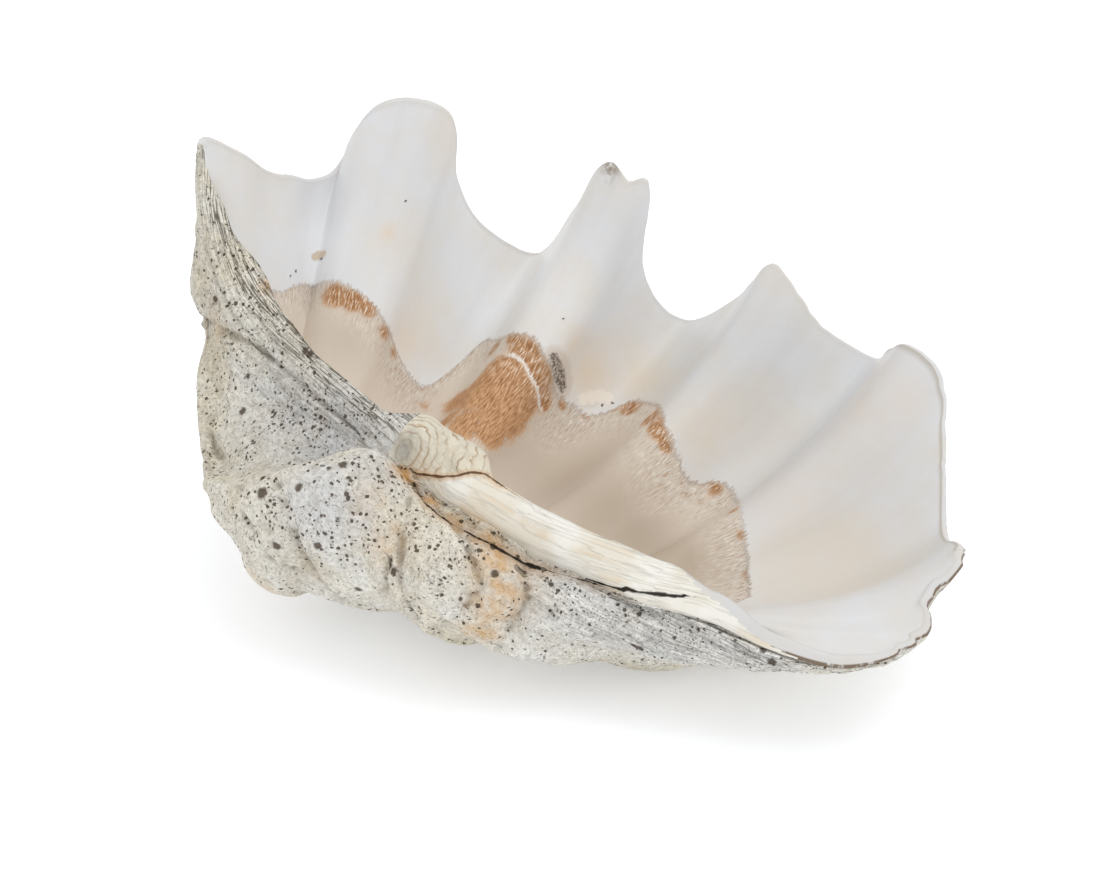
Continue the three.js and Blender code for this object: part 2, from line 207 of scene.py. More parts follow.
def grown(t, g):
    """Edge point times g, turned by ln(1/g)/COIL in a plane across the hinge, plus what the folds add."""
    age = (YOUNG_FOLDS + (1 - YOUNG_FOLDS) * smooth((g - 0.1) / 0.5))[..., None]
    late = smooth((g - LATE) / (1 - LATE))[..., None]
    before = line(young_edge, t * FINE) * (1 - age) + line(soft_edge, t * FINE) * age
    x, y, z = np.moveaxis(before * (1 - late) + line(PLACE, t) * late, -1, 0)
    turn = -np.log(np.maximum(g, 1e-5)) / COIL
    dx = x - BEAK[0]
    reach = np.hypot(y, np.where(dx < 0, *END_DEPTH) * dx)
    return np.stack([
        BEAK[0] + dx * (1 - (1 - g) ** SPREAD),
        BEAK[1] * (1 - g) ** 2 + g * reach * np.cos(turn) + (y - reach) * g**SIDE_PULL,
        BEAK[2] * (1 - g) ** 2 - DEPTH * g * reach * np.sin(turn) + z * g**FOLD_FADE], -1)


def into_wall(surface, t, g):
    """The cross product of the two slopes of a surface, which points into the shell."""
    return unit(np.cross(surface(t + 0.02, g) - surface(t - 0.02, g),
                         surface(t, g) - surface(t, g - np.minimum(0.006, g * 0.5))))


# %% [markdown]
# ## The bowl and the edge
# Inside, the wall follows the outside at a distance that grows from 8 mm at the free edge to
# several centimetres in the middle, then runs smoothly down to the floor. Under the hinge the bowl
# drops steeply instead. The edge joins the two skins with a slight dome.

# %% The inner skin
EDGE_WALL, THICKEN = 8.0, 90.0
FLOOR_IN = np.array([8.0, 74.0, -124.0])
BOWL_SPREAD, FOLD_FADE_IN, WALL_FOOT, SCAR_STEP = 1.6, 2.2, 0.6, 2.5


def to_axis(p):
    """Unit vector from p towards the middle line of the mouth."""
    return unit(np.stack([-0.4 * p[..., 0], 130 - p[..., 1], 40 - p[..., 2]], -1))


def wall(t, s):
    """The grown surface, moved in by the edge's wall and then by THICKEN (1 - s) towards the axis."""
    p = grown(t, s)
    axis = to_axis(p)
    return p + unit(into_wall(grown, t, s) + axis) * EDGE_WALL + axis * (THICKEN * (1 - s))[..., None]


def inner_edge(t):
    """On the free side the wall at s = 1; on the hinge side the outer edge plus the row's step."""
    h = habit(t)
    free = h[..., 4:5]
    return wall(t, np.ones_like(t)) * free + (line(PLACE, t) + h[..., 5:8]) * (1 - free)


def bowl(t, s):
    """Above s = 0.6 the wall, below it a cubic down to the floor; near the hinge a steep power curve."""
    steep, scar, free = (habit(t)[..., k] for k in (0, 3, 4))
    e = inner_edge(t)
    drop = np.stack([
        FLOOR_IN[0] + (e[..., 0] - FLOOR_IN[0]) * (1 - (1 - s) ** BOWL_SPREAD),
        FLOOR_IN[1] + (e[..., 1] - FLOOR_IN[1]) * s,
        e[..., 2] * s**FOLD_FADE_IN + FLOOR_IN[2] * (1 - s**steep)], -1)
    foot = np.full_like(t, WALL_FOOT)
    base = wall(t, foot)
    run = base - FLOOR_IN
    slope = unit(wall(t, foot + 0.01) - base) * np.linalg.norm(run, axis=-1, keepdims=True)
    w = np.minimum(s / WALL_FOOT, 1)[..., None]
    low = (FLOOR_IN + run * (3 - 2 * w) * w**2 + run * np.array([1.0, 1.0, 0.0]) * w * (1 - w) ** 2
           - slope * w**2 * (1 - w))
    side = np.where((s < WALL_FOOT)[..., None], low, wall(t, np.maximum(s, WALL_FOOT)))
    p = drop * (1 - free[..., None]) + side * free[..., None]
    p[..., 2] += SCAR_STEP * free * smooth((scar - s) / 0.05) * np.clip(s / 0.3, 0, 1)
    return p


def rim(t, v):
    """The line from outer to inner edge, raised by the row's dome x that line's length x sin(pi v)."""
    o, i = line(PLACE, t), inner_edge(t)
    dome = habit(t)[..., 8] * np.linalg.norm(i - o, axis=-1) * np.sin(np.pi * v)
    return o * (1 - v[..., None]) + i * v[..., None] + dome[..., None] * np.array([0, -0.25, 1.0])


# %% [markdown]
# ## What years in the sea did to it
# The outside grew in stages and was drilled, worn and chalked over, so it is never smooth. Value
# noise gives that: random numbers on a cubic lattice, blended smoothly between the corners. Adding
# halves of the size and half the height gives the roughness of stone.

# %% Noise on arrays
CELLS, OCTAVE_SHIFT = 32, 17.3
LATTICE = np.random.default_rng(11).random((CELLS,) * 3) * 2 - 1


def grit(p, size, octaves=3):
    """Sum of lattice noise of the given size in mm, each octave half as big and half as high."""
    total = 0
    for k in range(octaves):
        q = p * (2**k / size) + OCTAVE_SHIFT * k
        i = np.floor(q).astype(int)
        w = smooth(q - i)
        a, b = i % CELLS, (i + 1) % CELLS
        part = 0
        for corner in range(8):
            pick = [(corner >> axis) & 1 for axis in range(3)]
            ix, iy, iz = ((b if pick[axis] else a)[..., axis] for axis in range(3))
            share = np.prod([w[..., axis] if pick[axis] else 1 - w[..., axis] for axis in range(3)], 0)
            part = part + LATTICE[ix, iy, iz] * share
        total = total + part / 2**k
    return total


# %% [markdown]
# ## The finer skin
# The solid has about five thousand points. This skin has some ninety-six thousand: a grid whose
# columns run from the beak over the edge to the floor and whose rings run round. The grid closes on
# the hinge plate, where a small jump in the painted fibre hardly shows.

# %% Columns and rings
COLUMNS, RINGS_OUT, RINGS_RIM, RINGS_IN = 560, 88, 13, 62
OUT_CROWDING, OUT_REACH, IN_CROWDING = 1.15, 0.935, 0.8
LAST_RINGS = (0.945, 0.953, 0.96, 0.966, 0.972, 0.978, 0.984, 0.991)
START = float(NAMES.index("plate 4"))
dense = START + np.linspace(0, len(EDGE), 6001)
walk = np.r_[0, np.cumsum(np.linalg.norm(np.diff(line(PLACE, dense), axis=0), axis=1))]
ROUND = walk[-1] / 1000
t_col = np.interp(np.linspace(0, walk[-1], COLUMNS + 1)[:-1], walk, dense)
g_out = np.r_[(np.arange(1, RINGS_OUT + 1) / RINGS_OUT) ** OUT_CROWDING * OUT_REACH, LAST_RINGS]
v_rim = np.linspace(0, 1, RINGS_RIM)
s_in = (np.arange(RINGS_IN, 0, -1) / (RINGS_IN + 0.5)) ** IN_CROWDING
OUT, RIM = len(g_out), len(v_rim)


def grid(surface, rows):
    """The surface on every column for every given ring: rings x columns x 3."""
    t, r = np.broadcast_arrays(t_col[None], np.asarray(rows)[:, None])
    return surface(t, r)


FREE_STAGED, BACK_STAGED = 0.55, 0.2
hinge = 1 - habit(t_col)[:, 4]
free_end, left_end = NAMES.index("right end"), NAMES.index("peak 2 nub")
on_left = (ticks < left_end) | (ticks > NAMES.index("layers 1"))
staged = np.where(on_left, 1.0, np.where(ticks < free_end, FREE_STAGED, BACK_STAGED))
marks = softened(np.c_[habit(ticks)[:, 1:3], staged], SOFTEN)
rib, swell, staged = line(marks, t_col * FINE).T
print("edge", round(ROUND, 3), "m round,", COLUMNS, "columns,", OUT + RIM + len(s_in), "rings")

# %% [markdown]
# ## The outside
# It has rounded ribs, a swollen belly and soft lumps, as the solid has, and on top of that the
# marks of growth: ledges that run parallel to the edge, sharp where layers broke away.

# %% Ribs, stages, humps
RIB, LUMP, GROOVE = 6.0, 2.2, 6.0
STAGE, STAGE_GAP, STAGE_START = 0.036, 0.49, 0.288
HUMPS = [((68, -42, -44), 42, 7), ((-125, -72, -98), 50, 13), ((-84, -60, -134), 40, 9),
         ((100, -20, -108), 40, 8), ((-321, 89, -48), 32, 10)]
FOLD_FROM, FOLD_TO = np.array([2.0, -36, -12]), np.array([26.0, -62, -62])
FOLD_WIDE, FOLD_DEEP = 9.0, 4.0


def by_the_beak(p):
    """Round humps, minus a fold that follows the nearest point of a straight line."""
    along = FOLD_TO - FOLD_FROM
    share = np.clip((p - FOLD_FROM) @ along / (along @ along), 0, 1)[..., None]
    fold = bell(np.linalg.norm(p - FOLD_FROM - share * along, axis=-1), FOLD_WIDE)
    humps = sum(high * bell(np.linalg.norm(p - np.array(middle), axis=-1), wide)
                for middle, wide, high in HUMPS)
    return humps - FOLD_DEEP * fold


def stages(t, g):
    """One swelling for each STAGE_GAP in ln g: sin(pi part^0.6) - 0.6 starts steeply and fades out."""
    size = np.linalg.norm(line(PLACE, t) - BEAK, axis=-1) * g
    turn = (np.log(g) + STAGE_START) / STAGE_GAP
    return STAGE * size * (np.sin(np.pi * (turn - np.floor(turn)) ** 0.6) - 0.6) * (1 - g**8)


g = g_out[:, None]
plain = grid(grown, g_out)
out_normal = -grid(lambda t, r: into_wall(grown, t, r), g_out)
x, y, z = np.moveaxis(plain, -1, 0)
lump = (np.sin(x / 21 + 1.3 * np.sin(y / 33)) * np.sin(y / 24 + z / 29 + 0.8)
        + 0.6 * np.sin(x / 13 - z / 17 + 2.1) * np.sin(y / 15 + 0.4))
raised = (6.75 * g**2 * (1 - g) * RIB * rib + 6.75 * g * (1 - g) ** 2 * swell
          + LUMP * lump * np.minimum(1, 8 * g * (1 - g)) + grid(stages, g_out) * staged
          + by_the_beak(plain) * (1 - g**6))
print("ribs, lumps and stages, mm:", round(float(raised.min()), 1), "to", round(float(raised.max()), 1))

# %% [markdown]
# ## Ledges, roughness and borer holes
# Distance from the edge, in millimetres, tells which layer broke away where, so ledges are a saw
# tooth of that distance. Borers left hollows of a few millimetres: random spots, each dug as a
# round bowl. They are drawn in the mesh where they are wider than its cells, and painted otherwise.

# %% Ledges and roughness
FINE_LEDGE, FINE_GAP, FINE_REACH = 1.5, 6.5, 90
WIDE_LEDGE, WIDE_GAP, WIDE_REACH = 1.3, 23, 170


def saw(v):
    """The part of v past the whole number below it."""
    return v - np.floor(v)


outer_line = line(PLACE, t_col)
step_out = np.linalg.norm(np.diff(np.concatenate([plain, outer_line[None]]), axis=0), axis=-1)
from_edge = np.cumsum(step_out[::-1], 0)[::-1]
growth = from_edge + 5 * grit(plain, 60, 2)
near_hinge = np.clip(hinge, 0, 1)
ledges = (FINE_LEDGE * (0.5 - saw(growth / FINE_GAP)) * bell(from_edge, FINE_REACH)
          * (0.3 + 0.7 * near_hinge)
          + WIDE_LEDGE * (0.5 - saw(growth / WIDE_GAP)) * bell(from_edge, WIDE_REACH))
rough = 1.7 * grit(plain, 24, 3) + 0.8 * grit(plain, 9, 2)

# %% Borer holes
BORES, BORE_WIDE, BORE_DEEP = 330, (2.2, 6.0), 0.42
seeds = np.random.default_rng(5)
rows, cols = seeds.integers(20, OUT - 8, BORES), seeds.integers(0, COLUMNS, BORES)
bores = np.zeros(plain.shape[:2])
for row, col, wide in zip(rows, cols, seeds.uniform(*BORE_WIDE, BORES)):
    away = np.linalg.norm(plain - plain[row, col], axis=-1) / wide
    bores = np.maximum(bores, BORE_DEEP * wide * np.sqrt(np.clip(1 - away**2, 0, 1)))
fade = np.minimum(1, 12 * (1 - g)) * np.minimum(1, 10 * g)
relief = (ledges + rough - bores) * fade
print("outside relief, mm:", round(float(relief.std()), 2), "typical", round(float(relief.min()), 1), "low")

# %% [markdown]
# ## The edge and the bowl
# The free edge is chipped: a little is missing wherever slow noise is high, most at the right end.
# The crack under the hinge plate follows the edge of the outside, where the plate once came loose.

# %% Chips, and the groove of the crack
GROOVE_AT, GROOVE_HALF, CHIP_SIZE = 3.0, 4.5, 13
CHIP_T, CHIP_MM = (31.5, 33, 38, 39.5), (1.6, 5.0, 5.0, 1.6)
CHIP_OUT, CHIP_IN = np.array([0.2, 0.5, 0.8, 1.0]), np.array([0.8, 0.5, 0.2])
crack_groove = hinge * GROOVE * np.clip(1 - np.abs(from_edge - GROOVE_AT) / GROOVE_HALF, 0, 1)
outside = plain + out_normal * (raised + relief - crack_groove)[..., None]
edge = grid(rim, v_rim)
inside = grid(bowl, s_in)
worn = np.interp(t_col % len(EDGE), CHIP_T, CHIP_MM)
chip = (worn * np.clip(grit(outer_line, CHIP_SIZE, 2), 0, 1) * (1 - near_hinge))[None]
pull = unit(BEAK - outer_line)[None]
edge = edge + pull * chip[..., None]
outside[-len(CHIP_OUT):] += pull * (chip * CHIP_OUT[:, None])[..., None]
inside[:len(CHIP_IN)] += pull * (chip * CHIP_IN[:, None])[..., None]
print("plate up to", round(float(np.linalg.norm(edge[-1] - edge[0], axis=-1).max())), "mm wide")

# %% [markdown]
# ## One closed mesh
# The rings are joined to quads and each end closes on one point, so the skin has no hole. Then it
# is laid as the solid lies and fitted to the solid's own box, with its belly worn flat on the floor.

# %% Points, faces and the way it lies
TIP_BACK, TIP_SIDE = math.radians(2.35), math.radians(12.8)
rings = np.concatenate([outside, edge, inside])
points = np.vstack([BEAK[None], rings.reshape(-1, 3), FLOOR_IN[None]])
R, C = rings.shape[:2]
index = 1 + np.arange(R * C).reshape(R, C)
right = np.roll(index, -1, axis=1)
quads = np.stack([index[:-1], index[1:], right[1:], right[:-1]], -1).reshape(-1, 4)
last = len(points) - 1
caps = np.concatenate([np.stack([np.zeros(C, int), index[0], right[0]], -1),
                       np.stack([np.full(C, last), right[-1], index[-1]], -1)])
lay = Matrix.Rotation(TIP_BACK, 3, "X") @ Matrix.Rotation(TIP_SIDE, 3, "Y")
laid = points @ np.array(lay).T / 1000
low, high = laid.min(0), laid.max(0)
box_low, box_high = np.array(cad_low), np.array(cad_high)
for axis in (0, 1):
    fit = (box_high - box_low)[axis] / (high - low)[axis]
    middle = (low + high)[axis] / 2
    laid[:, axis] = (laid[:, axis] - middle) * min(fit, 1) + (box_low + box_high)[axis] / 2
laid[:, 2] = np.maximum(laid[:, 2] + box_high[2] - high[2], box_low[2])

# %% The object
mesh = bpy.data.meshes.new("clam_shell")
mesh.from_pydata(laid.tolist(), [], [*map(tuple, quads.tolist()), *map(tuple, caps.tolist())])
mesh.update()
shell = bpy.data.objects.new("clam_shell", mesh)
bpy.context.scene.collection.objects.link(shell)
mesh.polygons.foreach_set("use_smooth", np.ones(len(mesh.polygons), bool))
print(len(mesh.vertices), "points,", len(quads) * 2 + len(caps), "triangles")
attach(shell, "root")
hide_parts("clam_valve")

# %% [markdown]
# ## The view
# The camera stands nearly 2 m off, in front of the hinge and past the right end of the shell. It
# looks down by 29 degrees with a long lens, so the shell keeps its natural proportions.

# %% Camera
AZIMUTH, ELEVATION = math.radians(35.88), math.radians(29.0)
LENS, SENSOR = 76.4, 36.0
camera = bpy.data.objects.new("camera", bpy.data.cameras.new("camera"))
camera.data.lens, camera.data.sensor_width = LENS, SENSOR
camera.location = (0.9828, -1.3863, 1.0716)
back = Vector((math.sin(AZIMUTH) * math.cos(ELEVATION), -math.cos(AZIMUTH) * math.cos(ELEVATION),
               math.sin(ELEVATION)))
camera.rotation_euler = back.to_track_quat("Z", "Y").to_euler()
bpy.context.scene.collection.objects.link(camera)
bpy.context.scene.camera = camera

# %% [markdown]
# ## Where the marks are
# Scars, stains and holes were listed as points on the picture of a real shell of this kind, 1100
# by 880 points wide and high. A point of the picture is a ray from the camera. The nearest point of
# the skin close to that ray gives the depth, and so a place in the room. From then on the mark
# belongs to the shell, from whichever side it is looked at.

# %% From the picture to the shell
WIDE, HIGH = 1100, 880
LENS_POINTS = LENS / SENSOR * WIDE
NEAR_POINTS, SAME_DEPTH = 7.0, 0.012
eye = np.array(camera.location)
axes = np.array(camera.rotation_euler.to_matrix())
seen_from = (laid - eye) @ axes
depth = -seen_from[:, 2]
picture = np.stack([WIDE / 2 + LENS_POINTS * seen_from[:, 0] / depth,
                    HIGH / 2 - LENS_POINTS * seen_from[:, 1] / depth], -1)


def spot(px, py, only=None):
    """The shell's place at a point of the picture, and the index of its nearest vertex there."""
    away = np.hypot(picture[:, 0] - px, picture[:, 1] - py)
    if only is not None:
        away = np.where(only, away, np.inf)
    near = np.where(away < max(NEAR_POINTS, away.min() + 1))[0]
    front = near[depth[near] < depth[near].min() + SAME_DEPTH]
    best = front[away[front].argmin()]
    ray = axes @ np.array([px - WIDE / 2, HIGH / 2 - py, -LENS_POINTS])
    return eye + ray / LENS_POINTS * depth[best], best


def beside(path, only=None):
    """Least distance to a chain of picture points, with the sign of the side in the picture."""
    flat = np.array(path, float)
    chain = np.array([spot(px, py, only)[0] for px, py in path])
    best, side = np.full(len(laid), np.inf), np.ones(len(laid))
    for a, b, fa, fb in zip(chain[:-1], chain[1:], flat[:-1], flat[1:]):
        along = b - a
        share = np.clip((laid - a) @ along / (along @ along), 0, 1)[:, None]
        away = np.linalg.norm(laid - a - share * along, axis=1)
        turn = (fb - fa)[0] * (picture[:, 1] - fa[1]) - (fb - fa)[1] * (picture[:, 0] - fa[0])
        nearer = away < best
        best, side = np.where(nearer, away, best), np.where(nearer, np.sign(turn), side)
    return best * side


def spots(places, only=None):
    """The highest of strength x exp(-(distance / radius)^2) over picture points, radii in mm."""
    total = np.zeros(len(laid))
    for px, py, radius, strength in places:
        away = np.linalg.norm(laid - spot(px, py, only)[0], axis=1)
        total = np.maximum(total, strength * bell(away, radius / 1000))
    return total if only is None else total * only


ring_at = np.r_[0, np.repeat(np.arange(R), C), R - 1]
col_at = np.r_[0, np.tile(np.arange(C), R), 0]
is_out, is_in = ring_at < OUT, ring_at >= OUT + RIM
print("the left tip shows at", picture[1 + OUT * C + int(np.abs(t_col - len(EDGE)).argmin())].round(0))

# %% [markdown]
# ## Knuckles and folds
# Near the beak the outside is heaped up in knuckles with deep folds between them. Each fold is a
# chain of picture points and each knuckle one point with a radius. The skin sinks by 5.5 mm at
# most in a fold and swells by 5 mm at most on a knuckle, so both show from every side.

# %% Sinking the folds and swelling the knuckles
FOLDS = [[(208, 436), (218, 455), (236, 478), (243, 520), (270, 556), (317, 587), (372, 614)],
         [(276, 483), (294, 537), (317, 583)], [(409, 498), (401, 542), (399, 579), (413, 617)],
         [(468, 548), (481, 585), (462, 612), (440, 632)], [(522, 570), (527, 600), (497, 648)],
         [(203, 322), (226, 333), (250, 343), (272, 355)], [(330, 395), (362, 420), (392, 452)],
         [(355, 620), (385, 590), (388, 560)]]
KNUCKLES = [(438, 582, 26, 1.0), (345, 500, 40, 0.6), (210, 490, 20, 0.9), (505, 598, 16, 0.8),
            (265, 562, 20, 0.7), (205, 390, 26, 0.7), (560, 640, 22, 0.7), (290, 420, 30, 0.5)]
CREASE_WIDE, CREASE_DEEP, KNUCKLE_HIGH = 0.0045, 0.0055, 0.005
fold = np.max([bell(beside(path, is_out), CREASE_WIDE) for path in FOLDS], 0) * is_out
swollen = spots(KNUCKLES, is_out)
facing = np.empty(len(laid) * 3, np.float32)
mesh.vertices.foreach_get("normal", facing)
laid = laid + facing.reshape(-1, 3) * (KNUCKLE_HIGH * swollen - CREASE_DEEP * fold)[:, None]
laid = np.clip(laid, box_low, box_high)
mesh.vertices.foreach_set("co", laid.astype(np.float32).ravel())
mesh.update()
print("vertices in folds:", int((fold > 0.5).sum()))

# %% [markdown]
# ## The muscle scar
# Inside, the mantle and the muscles were fastened below a line that runs round the bowl in four
# lobes. Above the line the shell is polished and white, below it dull and brownish. The line is a
# list of picture points, turned into (t, s). The mesh only stores how far each vertex lies inside
# the line, in metres. The shader cuts that smooth field sharply, so the border is finer than the mesh.

# %% Distance inside the scar
SCAR_LINE = [(283, 294), (292, 287), (305, 283), (325, 282), (348, 287), (370, 300), (385, 318),
             (395, 340), (405, 365), (425, 390), (447, 372), (470, 352), (485, 340), (500, 334),
             (520, 331), (535, 337), (546, 352), (552, 372), (556, 392), (570, 408), (590, 414),
             (612, 410), (632, 398), (648, 401), (662, 412), (670, 432), (678, 455), (686, 480),
             (697, 486), (720, 482), (735, 500), (746, 540), (751, 580), (752, 600)]
FAR_IN, FAR_OUT = 0.3, -0.08
BEFORE_BOWL, BOWL_POINTS = 1 + (OUT + RIM) * C, len(s_in) * C + 1
s_all = np.r_[np.ones(BEFORE_BOWL), np.repeat(s_in, C), 0.0]
found = [spot(px, py, is_in)[1] for px, py in SCAR_LINE]
line_t, line_s = t_col[col_at[found]] % len(EDGE), s_all[found]
order = np.argsort(line_t)
t_turn = t_col % len(EDGE)
shown = (t_turn > line_t.min()) & (t_turn < line_t.max())
scar = np.where(shown, np.interp(t_turn, line_t[order], line_s[order]), habit(t_col)[:, 3])
scar = sum(np.roll(scar, k) for k in range(-2, 3)) / 5
wall_high = np.linalg.norm(np.diff(inside, axis=0), axis=-1).sum(0)
in_bowl = (scar[None] - s_in[:, None]) * wall_high / 1000
scar_in = np.r_[np.full(BEFORE_BOWL, FAR_OUT), in_bowl.ravel(), FAR_IN]
print("scar line from t", round(float(line_t.min()), 1), "to", round(float(line_t.max()), 1))


def store(name, values):
    """Keeps one number for each vertex under a name that a material can read."""
    mesh.attributes.new(name, "FLOAT", "POINT").data.foreach_set("value", values.astype(np.float32))


store("scar_in", scar_in)
store("fold", fold)

# %% Stains inside, and spots of painted shade and painted light: picture points, radius in mm, strength
ORANGE = [(335, 296, 15, 0.8), (352, 300, 13, 0.9), (368, 308, 11, 0.8), (386, 332, 12, 0.62),
          (396, 352, 10, 0.58), (455, 398, 20, 0.8), (475, 390, 26, 1.0), (500, 376, 28, 1.0),
          (505, 408, 30, 1.0), (525, 352, 18, 0.9), (538, 378, 20, 1.0), (490, 345, 14, 0.8),
          (515, 336, 12, 0.9), (490, 432, 18, 0.9), (545, 402, 12, 0.9), (446, 418, 18, 0.7),
          (466, 424, 20, 0.8), (532, 400, 18, 0.9), (563, 404, 8, 0.7), (585, 416, 7, 0.6),
          (632, 406, 13, 1.0), (648, 414, 14, 1.0), (660, 428, 13, 1.0), (667, 444, 10, 0.8),
          (612, 411, 7, 0.5), (715, 490, 10, 0.7), (733, 508, 10, 0.7), (742, 535, 9, 0.6),
          (746, 575, 8, 0.5), (425, 405, 10, 0.5), (275, 288, 7, 0.7), (290, 287, 6, 0.6),
          (304, 286, 6, 0.5)]
DULL = [(718, 540, 26, 0.7), (560, 480, 60, 0.7), (600, 500, 60, 0.8), (660, 550, 45, 1.0),
        (690, 560, 35, 1.0), (640, 540, 40, 0.9), (560, 440, 40, 0.5), (350, 340, 30, 0.4),
        (400, 385, 25, 0.5), (510, 455, 30, 0.4)]
WARM = [(400, 345, 30, 0.5), (590, 375, 26, 0.8), (640, 380, 24, 0.5), (575, 345, 18, 0.5),
        (780, 500, 60, 0.35), (860, 400, 60, 0.3), (388, 232, 7, 0.6), (905, 400, 25, 0.4),
        (705, 430, 30, 0.35), (835, 560, 70, 0.3)]
# Spots of painted shade, mostly on the right half of the bowl, and of painted light on the left half. The
# field called grey holds the shade less the light.
PAINTED_SHADE_SPOTS = [(820, 470, 150, 1.0), (620, 240, 60, 0.7), (720, 360, 100, 0.8), (430, 180, 60, 0.3),
        (900, 560, 80, 1.0)]
PAINTED_LIGHT_SPOTS = [(535, 270, 60, 1.1), (480, 215, 40, 0.6), (325, 245, 30, 0.7)]
for name, places in (("orange", ORANGE), ("dull", DULL), ("warm", WARM)):
    store(name, spots(places, is_in))
store("grey", spots(PAINTED_SHADE_SPOTS, is_in) - spots(PAINTED_LIGHT_SPOTS, is_in))

# %% [markdown]
# ## The crack
# Under the hinge plate a crack runs along the outer edge and then slants across the plate. Its
# path is a chain of picture points. Each vertex gets its distance from the chain, negative above
# it and positive below, so the shader can draw a thin dark gap where that number is near nought.
# The seam between knob and plate is another such chain.

# %% Distances from the crack and the seam
CRACK = [(398, 468), (412, 487), (426, 505), (449, 523), (484, 541), (511, 556), (534, 567), (565, 575),
         (597, 584), (638, 592), (674, 596), (718, 599)]
SEAM = [(384, 461), (400, 470), (418, 474), (440, 477), (457, 476), (472, 472), (486, 474), (500, 484)]
CRACK_ENDS = [(398, 468, 9, 1.0), (712, 598, 14, 1.0), (722, 600, 10, 1.0)]
crack, join = beside(CRACK), beside(SEAM)
store("crack", crack)
store("join", join)
store("shut", spots(CRACK_ENDS))
print("vertices within 5 mm of the crack:", int((np.abs(crack) < 0.005).sum()))

# %% [markdown]
# ## Stains, pits and grain outside
# Rust-coloured stains gather round the crack and the hump, pits are densest on the old part near
# the beak, and the layers show as fine dark lines along the hinge side.

# %% Stains and pits outside: picture points, radius in mm, strength
OCHRE = [(405, 475, 13, 1.0), (430, 500, 10, 0.9), (455, 522, 10, 0.8), (490, 540, 13, 0.8),
         (496, 558, 17, 0.9), (502, 584, 22, 0.85), (496, 608, 19, 0.85), (482, 630, 14, 0.8),
         (466, 640, 11, 0.6), (370, 500, 14, 0.35), (212, 330, 20, 0.25), (470, 520, 16, 0.4),
         (390, 545, 20, 0.35), (270, 285, 9, 0.7), (300, 322, 7, 0.5), (250, 590, 30, 0.3)]
PITTED = [(350, 480, 75, 1.0), (320, 540, 60, 0.9), (400, 520, 45, 0.9), (460, 560, 45, 0.8),
          (500, 590, 40, 0.9), (270, 420, 60, 0.9), (225, 320, 60, 0.8), (560, 640, 50, 0.8),
          (300, 440, 60, 1.0), (225, 400, 50, 0.9), (620, 660, 50, 0.7)]
COOL = [(340, 440, 60, 1.0), (320, 500, 45, 0.8), (300, 400, 45, 0.8), (370, 470, 30, 0.7)]
PALE = [(240, 388, 26, 0.6), (600, 605, 50, 1.0), (770, 655, 45, 0.8), (660, 622, 50, 1.0),
        (720, 636, 45, 1.0), (565, 590, 30, 0.8)]
GRAIN = [(600, 610, 60, 0.35), (680, 630, 60, 0.45), (750, 645, 50, 0.6), (560, 590, 40, 0.2)]
KNOB = [(440, 450, 55, 1.0), (470, 462, 35, 1.0)]
KNOB_HOLLOW = [(403, 449, 11, 0.9), (398, 440, 8, 0.6)]
LEAST_PITTED, SEAM_WIDE = 0.6, 0.004
for name, places in (("ochre", OCHRE), ("cool", COOL), ("pale", PALE), ("rest", KNOB_HOLLOW)):
    store(name, spots(places, ~is_in))
store("pitted", np.maximum(spots(PITTED, ~is_in), LEAST_PITTED))
store("knob", np.minimum(1, 1.4 * spots(KNOB, ~is_in)) * np.clip(0.5 - join / SEAM_WIDE, 0, 1))
hollow = np.r_[0, relief.ravel(), np.zeros(RIM * C + BOWL_POINTS)]
store("height", hollow / 1000)

# %% [markdown]
# The grain is strongest on the last 15 mm of the hinge side. On the layered band behind the beak
# it stops short of the outer edge. Grime sits on the worn edge at the right end and on one tooth.

# %% Grain, grime and the lip
BAND_START, GRAIN_REACH, FAINT, FAINT_REACH = 45.3, 15, 0.15, 160
GRIME_T, GRIME = (0, 26, 28, 32, 34, 39, 40), (0.0, 0.0, 0.35, 0.4, 0.95, 0.95, 0.0)
TOOTH = [(612, 166, 8, 1.0)]
LIP, LIP_LINE, LIP_END, LINE_T = 0.3, 0.9, 40, (26.5, 33.5)
t_all = np.r_[0, np.tile(t_turn, R), 0]
edge_mm = np.r_[from_edge.max(), from_edge.ravel(), np.zeros(RIM * C + BOWL_POINTS)]
v_all = np.r_[np.zeros(1 + OUT * C), np.repeat(v_rim, C), np.ones(BOWL_POINTS)]
split = np.where(t_all < BAND_START, 1.0, np.interp(v_all, [0.0, 0.2, 0.45], [0.2, 0.4, 1.0]))
near = np.r_[0, np.tile(near_hinge, R), 0] * bell(edge_mm, GRAIN_REACH) * split
grain = np.max([spots(GRAIN, ~is_in), near, FAINT * bell(edge_mm, FAINT_REACH)], 0)
store("grain", grain * ~is_in)
on_edge_ring = (ring_at >= OUT - 1) & (ring_at < OUT + 3)
store("grime", np.maximum(on_edge_ring * np.interp(t_all, GRIME_T, GRIME), spots(TOOTH)))
lip = (ring_at >= OUT + 3) & (ring_at < OUT + RIM) & (t_all < LIP_END)
lip_line = lip & (ring_at >= OUT + RIM - 3) & (t_all > LINE_T[0]) & (t_all < LINE_T[1])
store("lip", np.maximum(LIP * lip, LIP_LINE * lip_line))

# %% [markdown]
# ## Own coordinates
# Grain and comb-like streaks follow the growth of the shell, so the skin also gets a flat map:
# metres along the edge across, metres away from the edge upwards.

